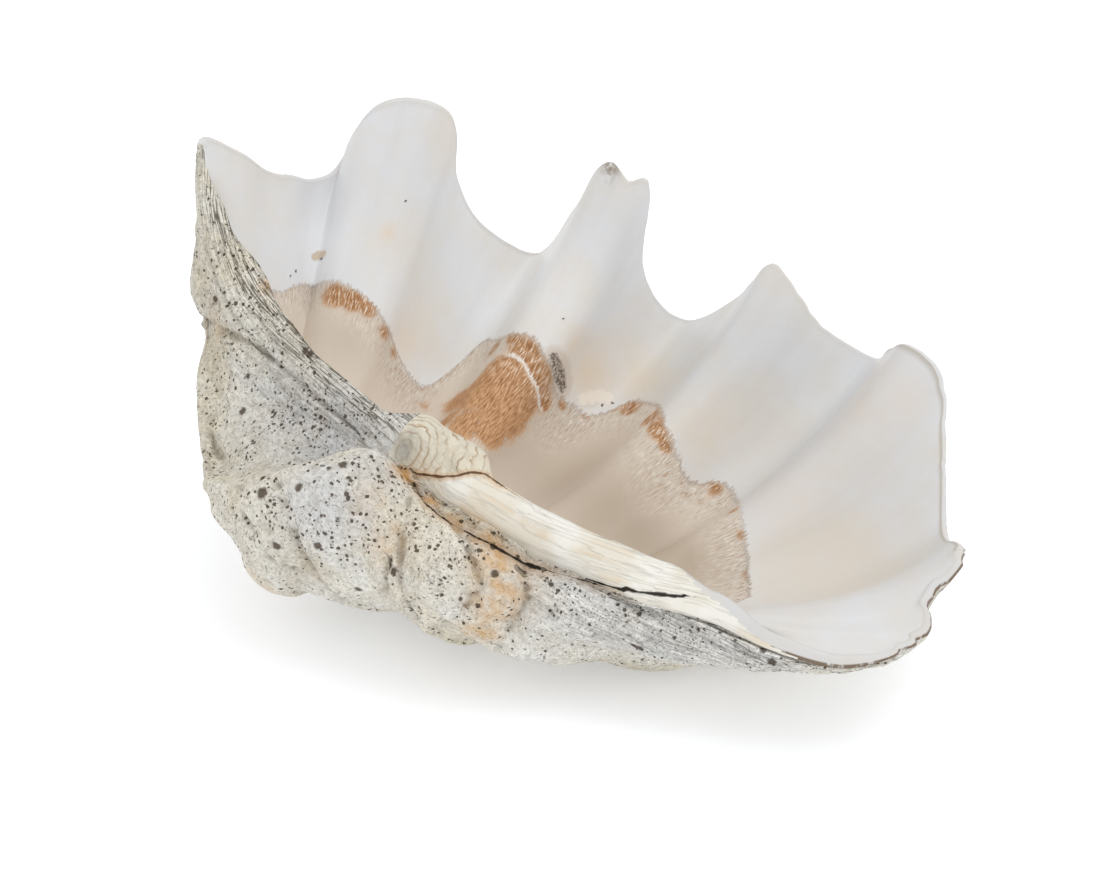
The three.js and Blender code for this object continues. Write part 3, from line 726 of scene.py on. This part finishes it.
# %% The flat map
CAP_STEP = 0.005
width_rim = np.cumsum(np.r_[np.zeros((1, C)), np.linalg.norm(np.diff(edge, axis=0), axis=-1)], 0)
down = np.cumsum(np.linalg.norm(np.diff(np.concatenate([edge[-1:], inside]), axis=0), axis=-1), 0)
away_rings = np.concatenate([from_edge, -width_rim, -(width_rim[-1] + down)]) / 1000
turn_rings = np.tile(np.arange(C + 1) / C * ROUND, (R, 1))
away_wrap = np.c_[away_rings, away_rings[:, :1]]
corner = np.stack([turn_rings, away_wrap], -1)
quad_uv = np.stack([corner[:-1, :-1], corner[1:, :-1], corner[1:, 1:], corner[:-1, 1:]], 2)
mid = (turn_rings[0, :-1] + turn_rings[0, 1:]) / 2
cap_a = np.stack([np.c_[mid, away_rings[0] + CAP_STEP], corner[0, :-1], corner[0, 1:]], 1)
cap_b = np.stack([np.c_[mid, away_rings[-1] - CAP_STEP], corner[-1, 1:], corner[-1, :-1]], 1)
flat_map = mesh.uv_layers.new(name="growth")
flat = np.concatenate([part.reshape(-1, 2) for part in (quad_uv, cap_a, cap_b)])
flat_map.data.foreach_set("uv", flat.astype(np.float32).ravel())
print("flat map", round(ROUND, 2), "m by", round(float(away_rings.max() - away_rings.min()), 2), "m")

# %% [markdown]
# ## Colours and nodes
# A colour picked on a screen is an sRGB code, but light is added in linear numbers, so one function
# turns one into the other. One function adds a node. A natural surface is a base colour with many
# thin coats over it, and a relief that is a sum of small heights, so two more functions do that.
# Patterns are laid out in metres, so the scale of a noise is the number of its cells in a metre:
# 22 gives patches of 45 mm, 90 gives 11 mm and 350 gives grit of 3 mm.

# %% Helpers for materials
def linear(code):
    """The linear colour of an sRGB hex code: c / 12.92 when dark, else ((c + 0.055) / 1.055)^2.4."""
    parts = [int(code[k:k + 2], 16) / 255 for k in (1, 3, 5)]
    return [c / 12.92 if c <= 0.04045 else ((c + 0.055) / 1.055) ** 2.4 for c in parts] + [1.0]


def node(tree, kind, inputs=(), out=0, **settings):
    """Adds a node with its settings and links, and returns one output. Inputs go by name, or in order.

    In order, a MapRange takes the value, the two ends it comes from and the two it goes to.
    """
    made = tree.nodes.new("ShaderNode" + kind)
    for name, value in settings.items():
        setattr(made, name, value)
    for key, value in inputs.items() if isinstance(inputs, dict) else enumerate(inputs):
        if isinstance(value, bpy.types.NodeSocket):
            tree.links.new(value, made.inputs[key])
        else:
            made.inputs[key].default_value = value
    return made.outputs[out]


def material(name, roughness, specular, fields=()):
    """A material with these constants: itself, its tree, its shader, and the stored fields it reads."""
    made = bpy.data.materials.new(name)
    made.use_nodes = True
    tree = made.node_tree
    shader = tree.nodes["Principled BSDF"]
    shader.inputs["Roughness"].default_value = roughness
    shader.inputs["Specular IOR Level"].default_value = specular
    read = {field: node(tree, "Attribute", out="Fac", attribute_name=field) for field in fields}
    return made, tree, shader, read


def coated(tree, tone, coats):
    """Lays colours over the tone in turn. A coat is its share, how opaque it is at most, its colour."""
    for share, most, colour in coats:
        share = node(tree, "Math", (share, most), operation="MULTIPLY")
        colour = linear(colour) if isinstance(colour, str) else colour
        tone = node(tree, "Mix", {0: share, 6: tone, 7: colour}, 2, data_type="RGBA")
    return tone


def finish(tree, shader, tone, heights):
    """Gives the shader its colour and a relief: the sum of pattern x millimetres."""
    high = 0.0
    for pattern, millimetres in heights:
        high = node(tree, "Math", (pattern, millimetres, high), operation="MULTIPLY_ADD")
    bump = node(tree, "Bump", {"Strength": 1.0, "Distance": 0.001, "Height": high})
    tree.links.new(tone, shader.inputs["Base Color"])
    tree.links.new(bump, shader.inputs["Normal"])


# %% [markdown]
# ## Floor and light
# The floor is a sheet of white acrylic that glows a little, as under catalogue pictures. With an
# even bright tent and one wide soft box overhead it leaves only a pale shadow under the belly.

# %% Floor, tent and soft box
FLOOR_HALF, FLOOR_GLOW, TENT_GLOW = 30.0, 0.24, 1.0
corners = [(x * FLOOR_HALF, y * FLOOR_HALF, 0) for x, y in ((-1, -1), (1, -1), (1, 1), (-1, 1))]
floor_mesh = bpy.data.meshes.new("floor")
floor_mesh.from_pydata(corners, [], [(0, 1, 2, 3)])
floor = bpy.data.objects.new("floor", floor_mesh)
bpy.context.scene.collection.objects.link(floor)
acrylic, _, sheet, _ = material("glowing_white_acrylic", 0.95, 0.0)
sheet.inputs["Base Color"].default_value = linear("#f3f5f9")
sheet.inputs["Emission Color"].default_value = linear("#ffffff")
sheet.inputs["Emission Strength"].default_value = FLOOR_GLOW
floor_mesh.materials.append(acrylic)

world = bpy.data.worlds.new("tent")
world.use_nodes = True
world.node_tree.nodes["Background"].inputs["Color"].default_value = linear("#ffffff")
world.node_tree.nodes["Background"].inputs["Strength"].default_value = TENT_GLOW
bpy.context.scene.world = world
bpy.context.scene.view_settings.view_transform = "Standard"


def soft_box(name, place, target, size, watts):
    """A square area light at place that faces target."""
    lamp = bpy.data.objects.new(name, bpy.data.lights.new(name, "AREA"))
    lamp.data.size, lamp.data.energy = size, watts
    lamp.location = place
    lamp.rotation_euler = (Vector(place) - Vector(target)).to_track_quat("Z", "Y").to_euler()
    bpy.context.scene.collection.objects.link(lamp)


soft_box("key", (0.9, 0.1, 2.6), (0, 0, 0.1), 1.6, 13)

# %% [markdown]
# ## Chalky outer shell
# The outside of an old valve is weathered calcium carbonate: matt, pale grey to cream, full of
# borer pits, stained by rust, and here darker where its relief is low. Pits are cells of a Voronoi
# pattern: each cell gets one round hole whose size is a random number, so no two look alike. Three
# cell sizes are layered. The smallest real pits are under a millimetre and would vanish in a picture,
# so they are drawn wider.

# %% Pits and holes
def pits(tree, place, cell, widest, dense):
    """Holes in cells of that size: radius widest x sqrt(chance - (1 - dense)) cells, edge softened."""
    away = node(tree, "TexVoronoi", {"Vector": place, "Scale": 1 / cell}, "Distance")
    chance = node(tree, "SeparateColor", {"Color": away.node.outputs["Color"]}, "Red")
    over = node(tree, "Math", (chance, dense), operation="ADD")
    over = node(tree, "Math", (over, 1.0), operation="SUBTRACT", use_clamp=True)
    radius = node(tree, "Math", (over, 0.5), operation="POWER")
    radius = node(tree, "Math", (radius, widest), operation="MULTIPLY")
    core = node(tree, "Math", (radius, 0.72), operation="MULTIPLY")
    return node(tree, "MapRange", (away, radius, core), interpolation_type="SMOOTHSTEP")


def holes(tree, place, marks, only=None):
    """0 outside each picture point's radius in mm, 1 within 5/8 of it; the highest of them all."""
    total = 0.0
    for px, py, radius in marks:
        middle = tuple(spot(px, py, only)[0])
        away = node(tree, "VectorMath", (place, middle), "Value", operation="DISTANCE")
        near = node(tree, "MapRange", (away, radius / 1000, radius / 1600))
        total = node(tree, "Math", (total, near), operation="MAXIMUM")
    return total


def ragged_place(tree, here, scale, amount):
    """The place, pushed about by up to half the amount, so that round marks get ragged edges."""
    wobble = node(tree, "TexNoise", {"Vector": here, "Scale": scale, "Detail": 2.0}, "Color")
    wobble = node(tree, "VectorMath", (wobble, (0.5,) * 3), operation="SUBTRACT")
    return node(tree, "VectorMath", (wobble, (amount,) * 3, here), operation="MULTIPLY_ADD")


# %% [markdown]
# The crack shows in two finishes, so both read it through one function. It widens and narrows with
# a slow noise, and closes where the field called shut is high.

# %% The crack's gap
def crack_lines(tree, here, read):
    """A slow noise, the distance from the crack less 4 mm times that noise, and the dark gap."""
    uneven = node(tree, "TexNoise", {"Vector": here, "Scale": 90.0, "Detail": 3.0}, "Fac")
    side = node(tree, "Math", (read["crack"],), operation="ABSOLUTE")
    side = node(tree, "Math", (uneven, -0.004, side), operation="MULTIPLY_ADD")
    side = node(tree, "Math", (read["shut"], 0.004, side), operation="MULTIPLY_ADD")
    gap = node(tree, "MapRange", (side, -0.0005, -0.0014))
    return uneven, side, gap


# %% The outer shell's pits
PIT_SIZES = ((0.0044, 0.52), (0.0095, 0.34), (0.03, 0.17))
BIG_HOLES = [(262, 493, 5.5), (300, 488, 4.5), (338, 518, 3.5), (343, 466, 4), (242, 411, 4.5),
             (305, 350, 4), (310, 354, 4), (306, 388, 3), (283, 366, 3), (277, 545, 4), (358, 591, 4),
             (318, 545, 4), (393, 571, 4), (495, 574, 3.5), (634, 646, 4), (640, 648, 3.5),
             (763, 648, 4), (772, 662, 4), (615, 669, 4), (551, 585, 2.5), (248, 376, 2.5),
             (480, 550, 2.5), (330, 470, 3)]
chalk, tree, shader, read = material(
    "chalky_worn_outer_shell", 0.88, 0.25,
    ("pitted", "grain", "ochre", "cool", "height", "crack", "shut", "fold", "pale"))
here = node(tree, "TexCoord", out="Object")
growth_map = node(tree, "TexCoord", out="UV")
ragged = ragged_place(tree, here, 350.0, 0.0032)
clusters = node(tree, "TexNoise", {"Vector": here, "Scale": 22.0, "Detail": 2.0}, "Fac")
clusters = node(tree, "MapRange", (clusters, 0.38, 0.6, 0.5))
many = node(tree, "Math", (read["pitted"], clusters), operation="MULTIPLY")
few = node(tree, "Math", (many, 0.6, 0.16), operation="MULTIPLY_ADD")
all_pits = holes(tree, ragged, BIG_HOLES, ~is_in)
for (cell, widest), dense in zip(PIT_SIZES, (many, few, few)):
    some = pits(tree, ragged, cell, widest, dense)
    all_pits = node(tree, "Math", (all_pits, some), operation="MAXIMUM")

# %% [markdown]
# The layers of the shell end at the hinge side as fine dark lines, like the grain of driftwood.
# A noise whose cells are 67 mm long and 2.6 mm wide has long thin contours. Only a narrow band of
# its values is drawn, which gives lines that branch and end as the real ones do.

# %% Grain lines, and the chalk's own patches
GRAIN_MAP = (15.0, 380.0, 1.0)
stretched = node(tree, "VectorMath", (growth_map, GRAIN_MAP), operation="MULTIPLY")
lines = node(tree, "TexNoise", {"Vector": stretched, "Scale": 1.0, "Detail": 3.0, "Distortion": 0.9}, "Fac")
lines = node(tree, "Math", (lines, 0.5), operation="SUBTRACT")
lines = node(tree, "Math", (lines,), operation="ABSOLUTE")
lines = node(tree, "MapRange", (lines, 0.04, 0.006))
lines = node(tree, "Math", (lines, read["grain"]), operation="MULTIPLY")
uneven, side, gap = crack_lines(tree, here, read)
rust = node(tree, "MapRange", (side, 0.008, -0.002))
patches = node(tree, "TexNoise", {"Vector": here, "Scale": 16.0, "Detail": 4.0, "Roughness": 0.6}, "Fac")
patches = node(tree, "MapRange", (patches, 0.36, 0.64))
specks = node(tree, "TexNoise", {"Vector": here, "Scale": 240.0, "Detail": 4.0, "Roughness": 0.7}, "Fac")
shade = node(tree, "MapRange", (specks, 0.34, 0.62, 0.7, 1.04))
pepper = node(tree, "TexNoise", {"Vector": here, "Scale": 520.0, "Detail": 2.0}, "Fac")
pepper = node(tree, "MapRange", (pepper, 0.42, 0.34))
pepper = node(tree, "Math", (pepper, clusters), operation="MULTIPLY")

# %% The outer shell's colour and relief
# Darker where the relief is low.
low_relief_dark = node(tree, "MapRange", (read["height"], 0.0005, -0.0035))
# Painted highlight on the raised places of the relief.
raised_highlight = node(tree, "MapRange", (read["height"], 0.0008, 0.003))
shadowed = node(tree, "MapRange", (read["fold"], 0.45))
stain = node(tree, "MapRange", (uneven, 0.3, 0.62, 0.25, 0.95))
stain = node(tree, "Math", (read["ochre"], stain), operation="MULTIPLY")
tone = node(tree, "Mix", {0: patches, 6: linear("#e3e1d9"), 7: linear("#dfd7c4")}, 2, data_type="RGBA")
tone = coated(tree, tone, [(read["cool"], 0.75, "#c9cacd"), (low_relief_dark, 0.45, "#a89c86"),
                           (shadowed, 0.75, "#8d8270"), (raised_highlight, 0.7, "#ebe9e4"),
                           (read["pale"], 0.85, "#f4f3ef")])
tone = node(tree, "VectorMath", (tone, shade), operation="MULTIPLY")
tone = coated(tree, tone, [(pepper, 0.85, "#7d7261"), (stain, 1.0, "#cb9950"), (rust, 0.55, "#a97f4c"),
                           (lines, 0.88, "#50442f"), (all_pits, 0.88, "#453522"), (gap, 1.0, "#241c14")])
finish(tree, shader, tone, [(specks, 1.6), (uneven, 2.0), (all_pits, -1.6), (lines, -0.7), (gap, -3.0)])

# %% [markdown]
# ## Porcelain-like inner shell
# The inside was built by the mantle in very thin layers, so it is dense, smooth and white with a
# dull sheen. Inside the scar line it was fastened to flesh: duller, taupe to orange, and combed
# with fine streaks, 2.5 mm wide and 9 mm long, that run away from the edge.

# %% Where the scar shows
COMB_MAP = (400.0, 110.0, 1.0)
china, tree, shader, read = material("porcelain_inner_shell", 0.5, 0.4,
                                     ("scar_in", "orange", "dull", "warm", "grime", "grey", "lip"))
here = node(tree, "TexCoord", out="Object")
growth_map = node(tree, "TexCoord", out="UV")
combed = node(tree, "VectorMath", (growth_map, COMB_MAP), operation="MULTIPLY")
comb = node(tree, "TexNoise", {"Vector": combed, "Scale": 1.0, "Detail": 3.0, "Roughness": 0.6}, "Fac")
fuzzy = node(tree, "Math", (comb, 0.5), operation="SUBTRACT")
border = node(tree, "Math", (fuzzy, 0.011, read["scar_in"]), operation="MULTIPLY_ADD")
in_scar = node(tree, "MapRange", (border, -0.0012, 0.0022), interpolation_type="SMOOTHSTEP")
near_line = node(tree, "MapRange", (read["scar_in"], 0.036, 0.004))
by_border = node(tree, "Math", (near_line, in_scar), operation="MULTIPLY")
slow = node(tree, "TexNoise", {"Vector": here, "Scale": 9.0, "Detail": 5.0, "Roughness": 0.65}, "Fac")
slow = node(tree, "MapRange", (slow, 0.42, 0.62))
outline = node(tree, "Math", (border,), operation="ABSOLUTE")
outline = node(tree, "MapRange", (outline, 0.0014, 0.0004))
outline = node(tree, "Math", (outline, slow), operation="MULTIPLY")

# %% [markdown]
# The orange flesh marks are cut ragged by the comb. Pale flakes and darker flecks lie along the
# border, and one pale arc runs 13.5 mm inside the border of the largest orange mark.

# %% Orange marks, flakes, flecks and the pale arc
ARC_IN, ARC_AT = 0.0135, [(500, 350, 100)]
tinted = node(tree, "Math", (fuzzy, 1.1, read["orange"]), operation="MULTIPLY_ADD")
tinted = node(tree, "MapRange", (tinted, 0.3, 0.5), interpolation_type="SMOOTHSTEP")
tinted = node(tree, "Math", (tinted, in_scar), operation="MULTIPLY")
flakes = node(tree, "MapRange", (comb, 0.53, 0.62))
flakes = node(tree, "Math", (flakes, by_border), operation="MULTIPLY")
flecks = node(tree, "MapRange", (comb, 0.44, 0.36))
flecks = node(tree, "Math", (flecks, by_border), operation="MULTIPLY")
arc = node(tree, "Math", (fuzzy, 0.008, read["scar_in"]), operation="MULTIPLY_ADD")
arc = node(tree, "Math", (arc, ARC_IN), operation="SUBTRACT")
arc = node(tree, "Math", (arc,), operation="ABSOLUTE")
arc = node(tree, "MapRange", (arc, 0.0018, 0.0005))
strong = node(tree, "MapRange", (read["orange"], 0.35, 0.6))
for part in (strong, holes(tree, here, ARC_AT, is_in)):
    arc = node(tree, "Math", (arc, part), operation="MULTIPLY")
rusty = node(tree, "MapRange", (comb, 0.4, 0.58))
rusty = node(tree, "Mix", {0: rusty, 6: linear("#99693f"), 7: linear("#cb9f75")}, 2, data_type="RGBA")
flesh = node(tree, "Mix", {0: read["dull"], 6: linear("#d0c2b1"), 7: linear("#ac9983")}, 2,
             data_type="RGBA")

# %% [markdown]
# A few single marks finish the inside: tan and dark specks, one long sore with crumbs of dirt in
# it, a pale crust, and grime on the worn edge. Over the white run soft rays, 33 mm wide and 330 mm
# long.

# %% Single marks inside
TAN = [(315, 257, 4.5), (319, 255, 5), (323, 254, 4.5)]
DARK = [(322, 259, 2), (295, 272, 1.6), (291, 276, 1.4), (867, 373, 2), (870, 376, 2), (590, 403, 2),
        (602, 405, 1.8), (612, 403, 1.8), (563, 319, 1.3), (692, 393, 1.2), (406, 201, 1.2)]
SORE = [(553, 358, 6), (554, 362, 7), (556, 366, 8), (557, 370, 8.5), (558, 374, 9), (559, 378, 8.5),
        (561, 382, 8), (563, 387, 6)]
CRUST = [(584, 400, 7), (592, 398, 8), (600, 397, 8), (608, 398, 7)]
HALO = 2.2
ragged = ragged_place(tree, here, 300.0, 0.005)
tan = holes(tree, here, TAN, is_in)
dark, crust, sore, halo = (holes(tree, ragged, marks, is_in) for marks in (
    DARK, CRUST, SORE, [(px, py, HALO * radius) for px, py, radius in SORE]))
crumbs = node(tree, "TexNoise", {"Vector": here, "Scale": 420.0, "Detail": 3.0}, "Fac")
crumbs = node(tree, "MapRange", (crumbs, 0.6, 0.42, 0.3))
sore = node(tree, "Math", (sore, crumbs), operation="MULTIPLY")
dirt = node(tree, "TexNoise", {"Vector": here, "Scale": 160.0, "Detail": 3.0}, "Fac")
dirt = node(tree, "MapRange", (dirt, 0.36, 0.5))
dirt = node(tree, "Math", (dirt, read["grime"]), operation="MULTIPLY")

# %% The inner shell's colour and relief
RAY_MAP = (30.0, 3.0, 1.0)
rays = node(tree, "VectorMath", (growth_map, RAY_MAP), operation="MULTIPLY")
rays = node(tree, "TexNoise", {"Vector": rays, "Scale": 1.0, "Detail": 4.0, "Roughness": 0.6}, "Fac")
rays = node(tree, "MapRange", (rays, 0.35, 0.55, 0.97))
# Painted shade where the field grey is high, painted light where it is below nought.
painted_shade_and_light = node(tree, "MapRange", (read["grey"], 0, 1, 1.0, 0.87), clamp=False)
tone = coated(tree, linear("#d9dadc"), [(slow, 0.55, "#d8d0c2")])
for part in (rays, painted_shade_and_light):
    tone = node(tree, "VectorMath", (tone, part), operation="MULTIPLY")
tone = coated(tree, tone, [
    (read["warm"], 0.7, "#dcc4a2"), (in_scar, 0.9, flesh), (by_border, 0.35, "#ded3c6"),
    (flecks, 0.8, "#b08a68"), (outline, 0.6, "#a5825e"), (tinted, 1.0, rusty), (flakes, 0.75, "#ebe4da"),
    (arc, 0.8, "#f0ebe4"), (tan, 0.7, "#bfa582"), (dark, 0.85, "#56402b"), (halo, 0.35, "#b29474"),
    (sore, 0.9, "#4f3a26"), (crust, 0.5, "#efe6d6"), (dirt, 1.0, "#6b5740"), (read["lip"], 0.8, "#a39a8b")])
rough_in = node(tree, "MapRange", (in_scar, 0, 1, 0.42, 0.68))
tree.links.new(rough_in, shader.inputs["Roughness"])
soft_high = node(tree, "TexNoise", {"Vector": here, "Scale": 60.0, "Detail": 4.0}, "Fac")
streak_high = node(tree, "Math", (comb, by_border), operation="MULTIPLY")
crust_high = node(tree, "Math", (crust, soft_high), operation="MULTIPLY")
finish(tree, shader, tone, [(soft_high, 0.35), (streak_high, 2.2), (dark, -2.0), (in_scar, -0.5),
                            (crust_high, 1.0)])

# %% [markdown]
# ## Hinge plate
# The thick plate beside the beak bore the ligament and the hinge teeth. It is cream and ivory
# coloured, split along its length, with rust in the splits, and round the beak it shows curved
# steps like the rings of a cut branch. Its fibres are drawn 6 mm wide and 100 mm long.

# %% The plate's fibre
FIBRE_MAP = (10.0, 170.0, 1.0)
ivory, tree, shader, read = material("ivory_hinge_plate", 0.7, 0.3,
                                     ("crack", "shut", "ochre", "knob", "rest", "join"))
here = node(tree, "TexCoord", out="Object")
growth_map = node(tree, "TexCoord", out="UV")
fibre = node(tree, "VectorMath", (growth_map, FIBRE_MAP), operation="MULTIPLY")
fibre = node(tree, "TexNoise", {"Vector": fibre, "Scale": 1.0, "Detail": 4.0, "Distortion": 0.6}, "Fac")
thin = node(tree, "Math", (fibre, 0.5), operation="SUBTRACT")
thin = node(tree, "Math", (thin,), operation="ABSOLUTE")
thin = node(tree, "MapRange", (thin, 0.02, 0.002))
streak = node(tree, "MapRange", (fibre, 0.52, 0.68))
slow = node(tree, "TexNoise", {"Vector": here, "Scale": 28.0, "Detail": 3.0}, "Fac")
some = node(tree, "MapRange", (slow, 0.42, 0.62))
off_knob = node(tree, "Math", (1.0, read["knob"]), operation="SUBTRACT")
thin = node(tree, "Math", (thin, off_knob), operation="MULTIPLY")
for part in (off_knob, some):
    streak = node(tree, "Math", (streak, part), operation="MULTIPLY")
uneven, _, gap = crack_lines(tree, here, read)

# %% [markdown]
# The steps on the knob are rings 7.5 mm apart round its highest point, bent by slow noise. A saw
# tooth of the distance gives each its rise, and its low end gets a painted brown shade. A rusty
# seam parts the knob from the plate.

# %% The knob's steps and its seam
KNOB_TOP, STEP_GAP = (403, 449), 0.0075
steps = node(tree, "VectorMath", (here, tuple(spot(*KNOB_TOP)[0])), "Value", operation="DISTANCE")
for part, amount in ((slow, 0.026), (uneven, 0.009)):
    steps = node(tree, "Math", (part, amount, steps), operation="MULTIPLY_ADD")
steps = node(tree, "Math", (steps, STEP_GAP), operation="FLOORED_MODULO")
# Painted brown shade at the low end of each step.
step_shade = node(tree, "MapRange", (steps, 0.0026, 0.0002))
broken = node(tree, "MapRange", (uneven, 0.4, 0.6, 0.15))
for part in (read["knob"], broken):
    step_shade = node(tree, "Math", (step_shade, part), operation="MULTIPLY")
steps = node(tree, "Math", (steps, read["knob"]), operation="MULTIPLY")
seam = node(tree, "Math", (read["join"],), operation="ABSOLUTE")
seam = node(tree, "Math", (uneven, -0.003, seam), operation="MULTIPLY_ADD")
seam_rust = node(tree, "MapRange", (seam, 0.003, -0.002))
seam = node(tree, "MapRange", (seam, -0.0004, -0.0014))

# %% The plate's colour and relief
tone = coated(tree, linear("#e7e5dd"), [
    (some, 1.0, "#ddd7c9"), (streak, 0.5, "#cfae7e"), (read["knob"], 0.6, "#cfc4ab"),
    (step_shade, 0.85, "#9c7a50"), (read["ochre"], 0.6, "#cfa36a"), (read["rest"], 1.0, "#9c9990"),
    (thin, 0.14, "#957a58"), (seam_rust, 0.75, "#c9965c"), (seam, 1.0, "#6d4a2a"), (gap, 1.0, "#2a2118")])
finish(tree, shader, tone, [(fibre, 0.9), (thin, -0.2), (steps, 420.0), (gap, -3.0), (seam, -2.5)])

# %% [markdown]
# ## Which face gets which finish
# The faces follow the rings: chalk outside and on the layered band behind the beak, ivory on the
# hinge plate, porcelain inside and on the free edge. The plate runs out in a slanting point.

# %% Faces and finishes
CHALK, CHINA, IVORY = range(3)
BAND_END, PLATE, PLATE_POINT = 51.6, 37.6, 2.2
for surface in (chalk, china, ivory):
    mesh.materials.append(surface)
ring_of, t_of = np.repeat(np.arange(R - 1), C), np.tile(t_turn, R - 1)
on_rim = (ring_of >= OUT) & (ring_of < OUT + RIM - 1)
plate_end = PLATE + PLATE_POINT * (ring_of - OUT) / (RIM - 1)
which = np.where(ring_of < OUT, CHALK, CHINA)
which = np.where(on_rim & (t_of > BAND_START) & (t_of < BAND_END), CHALK, which)
which = np.where(on_rim & (t_of > plate_end) & (t_of <= BAND_START), IVORY, which)
which = np.r_[which, np.full(C, CHALK), np.full(C, CHINA)].astype(np.int32)
mesh.polygons.foreach_set("material_index", which)
print("faces:", [int((which == k).sum()) for k in (CHALK, CHINA, IVORY)])
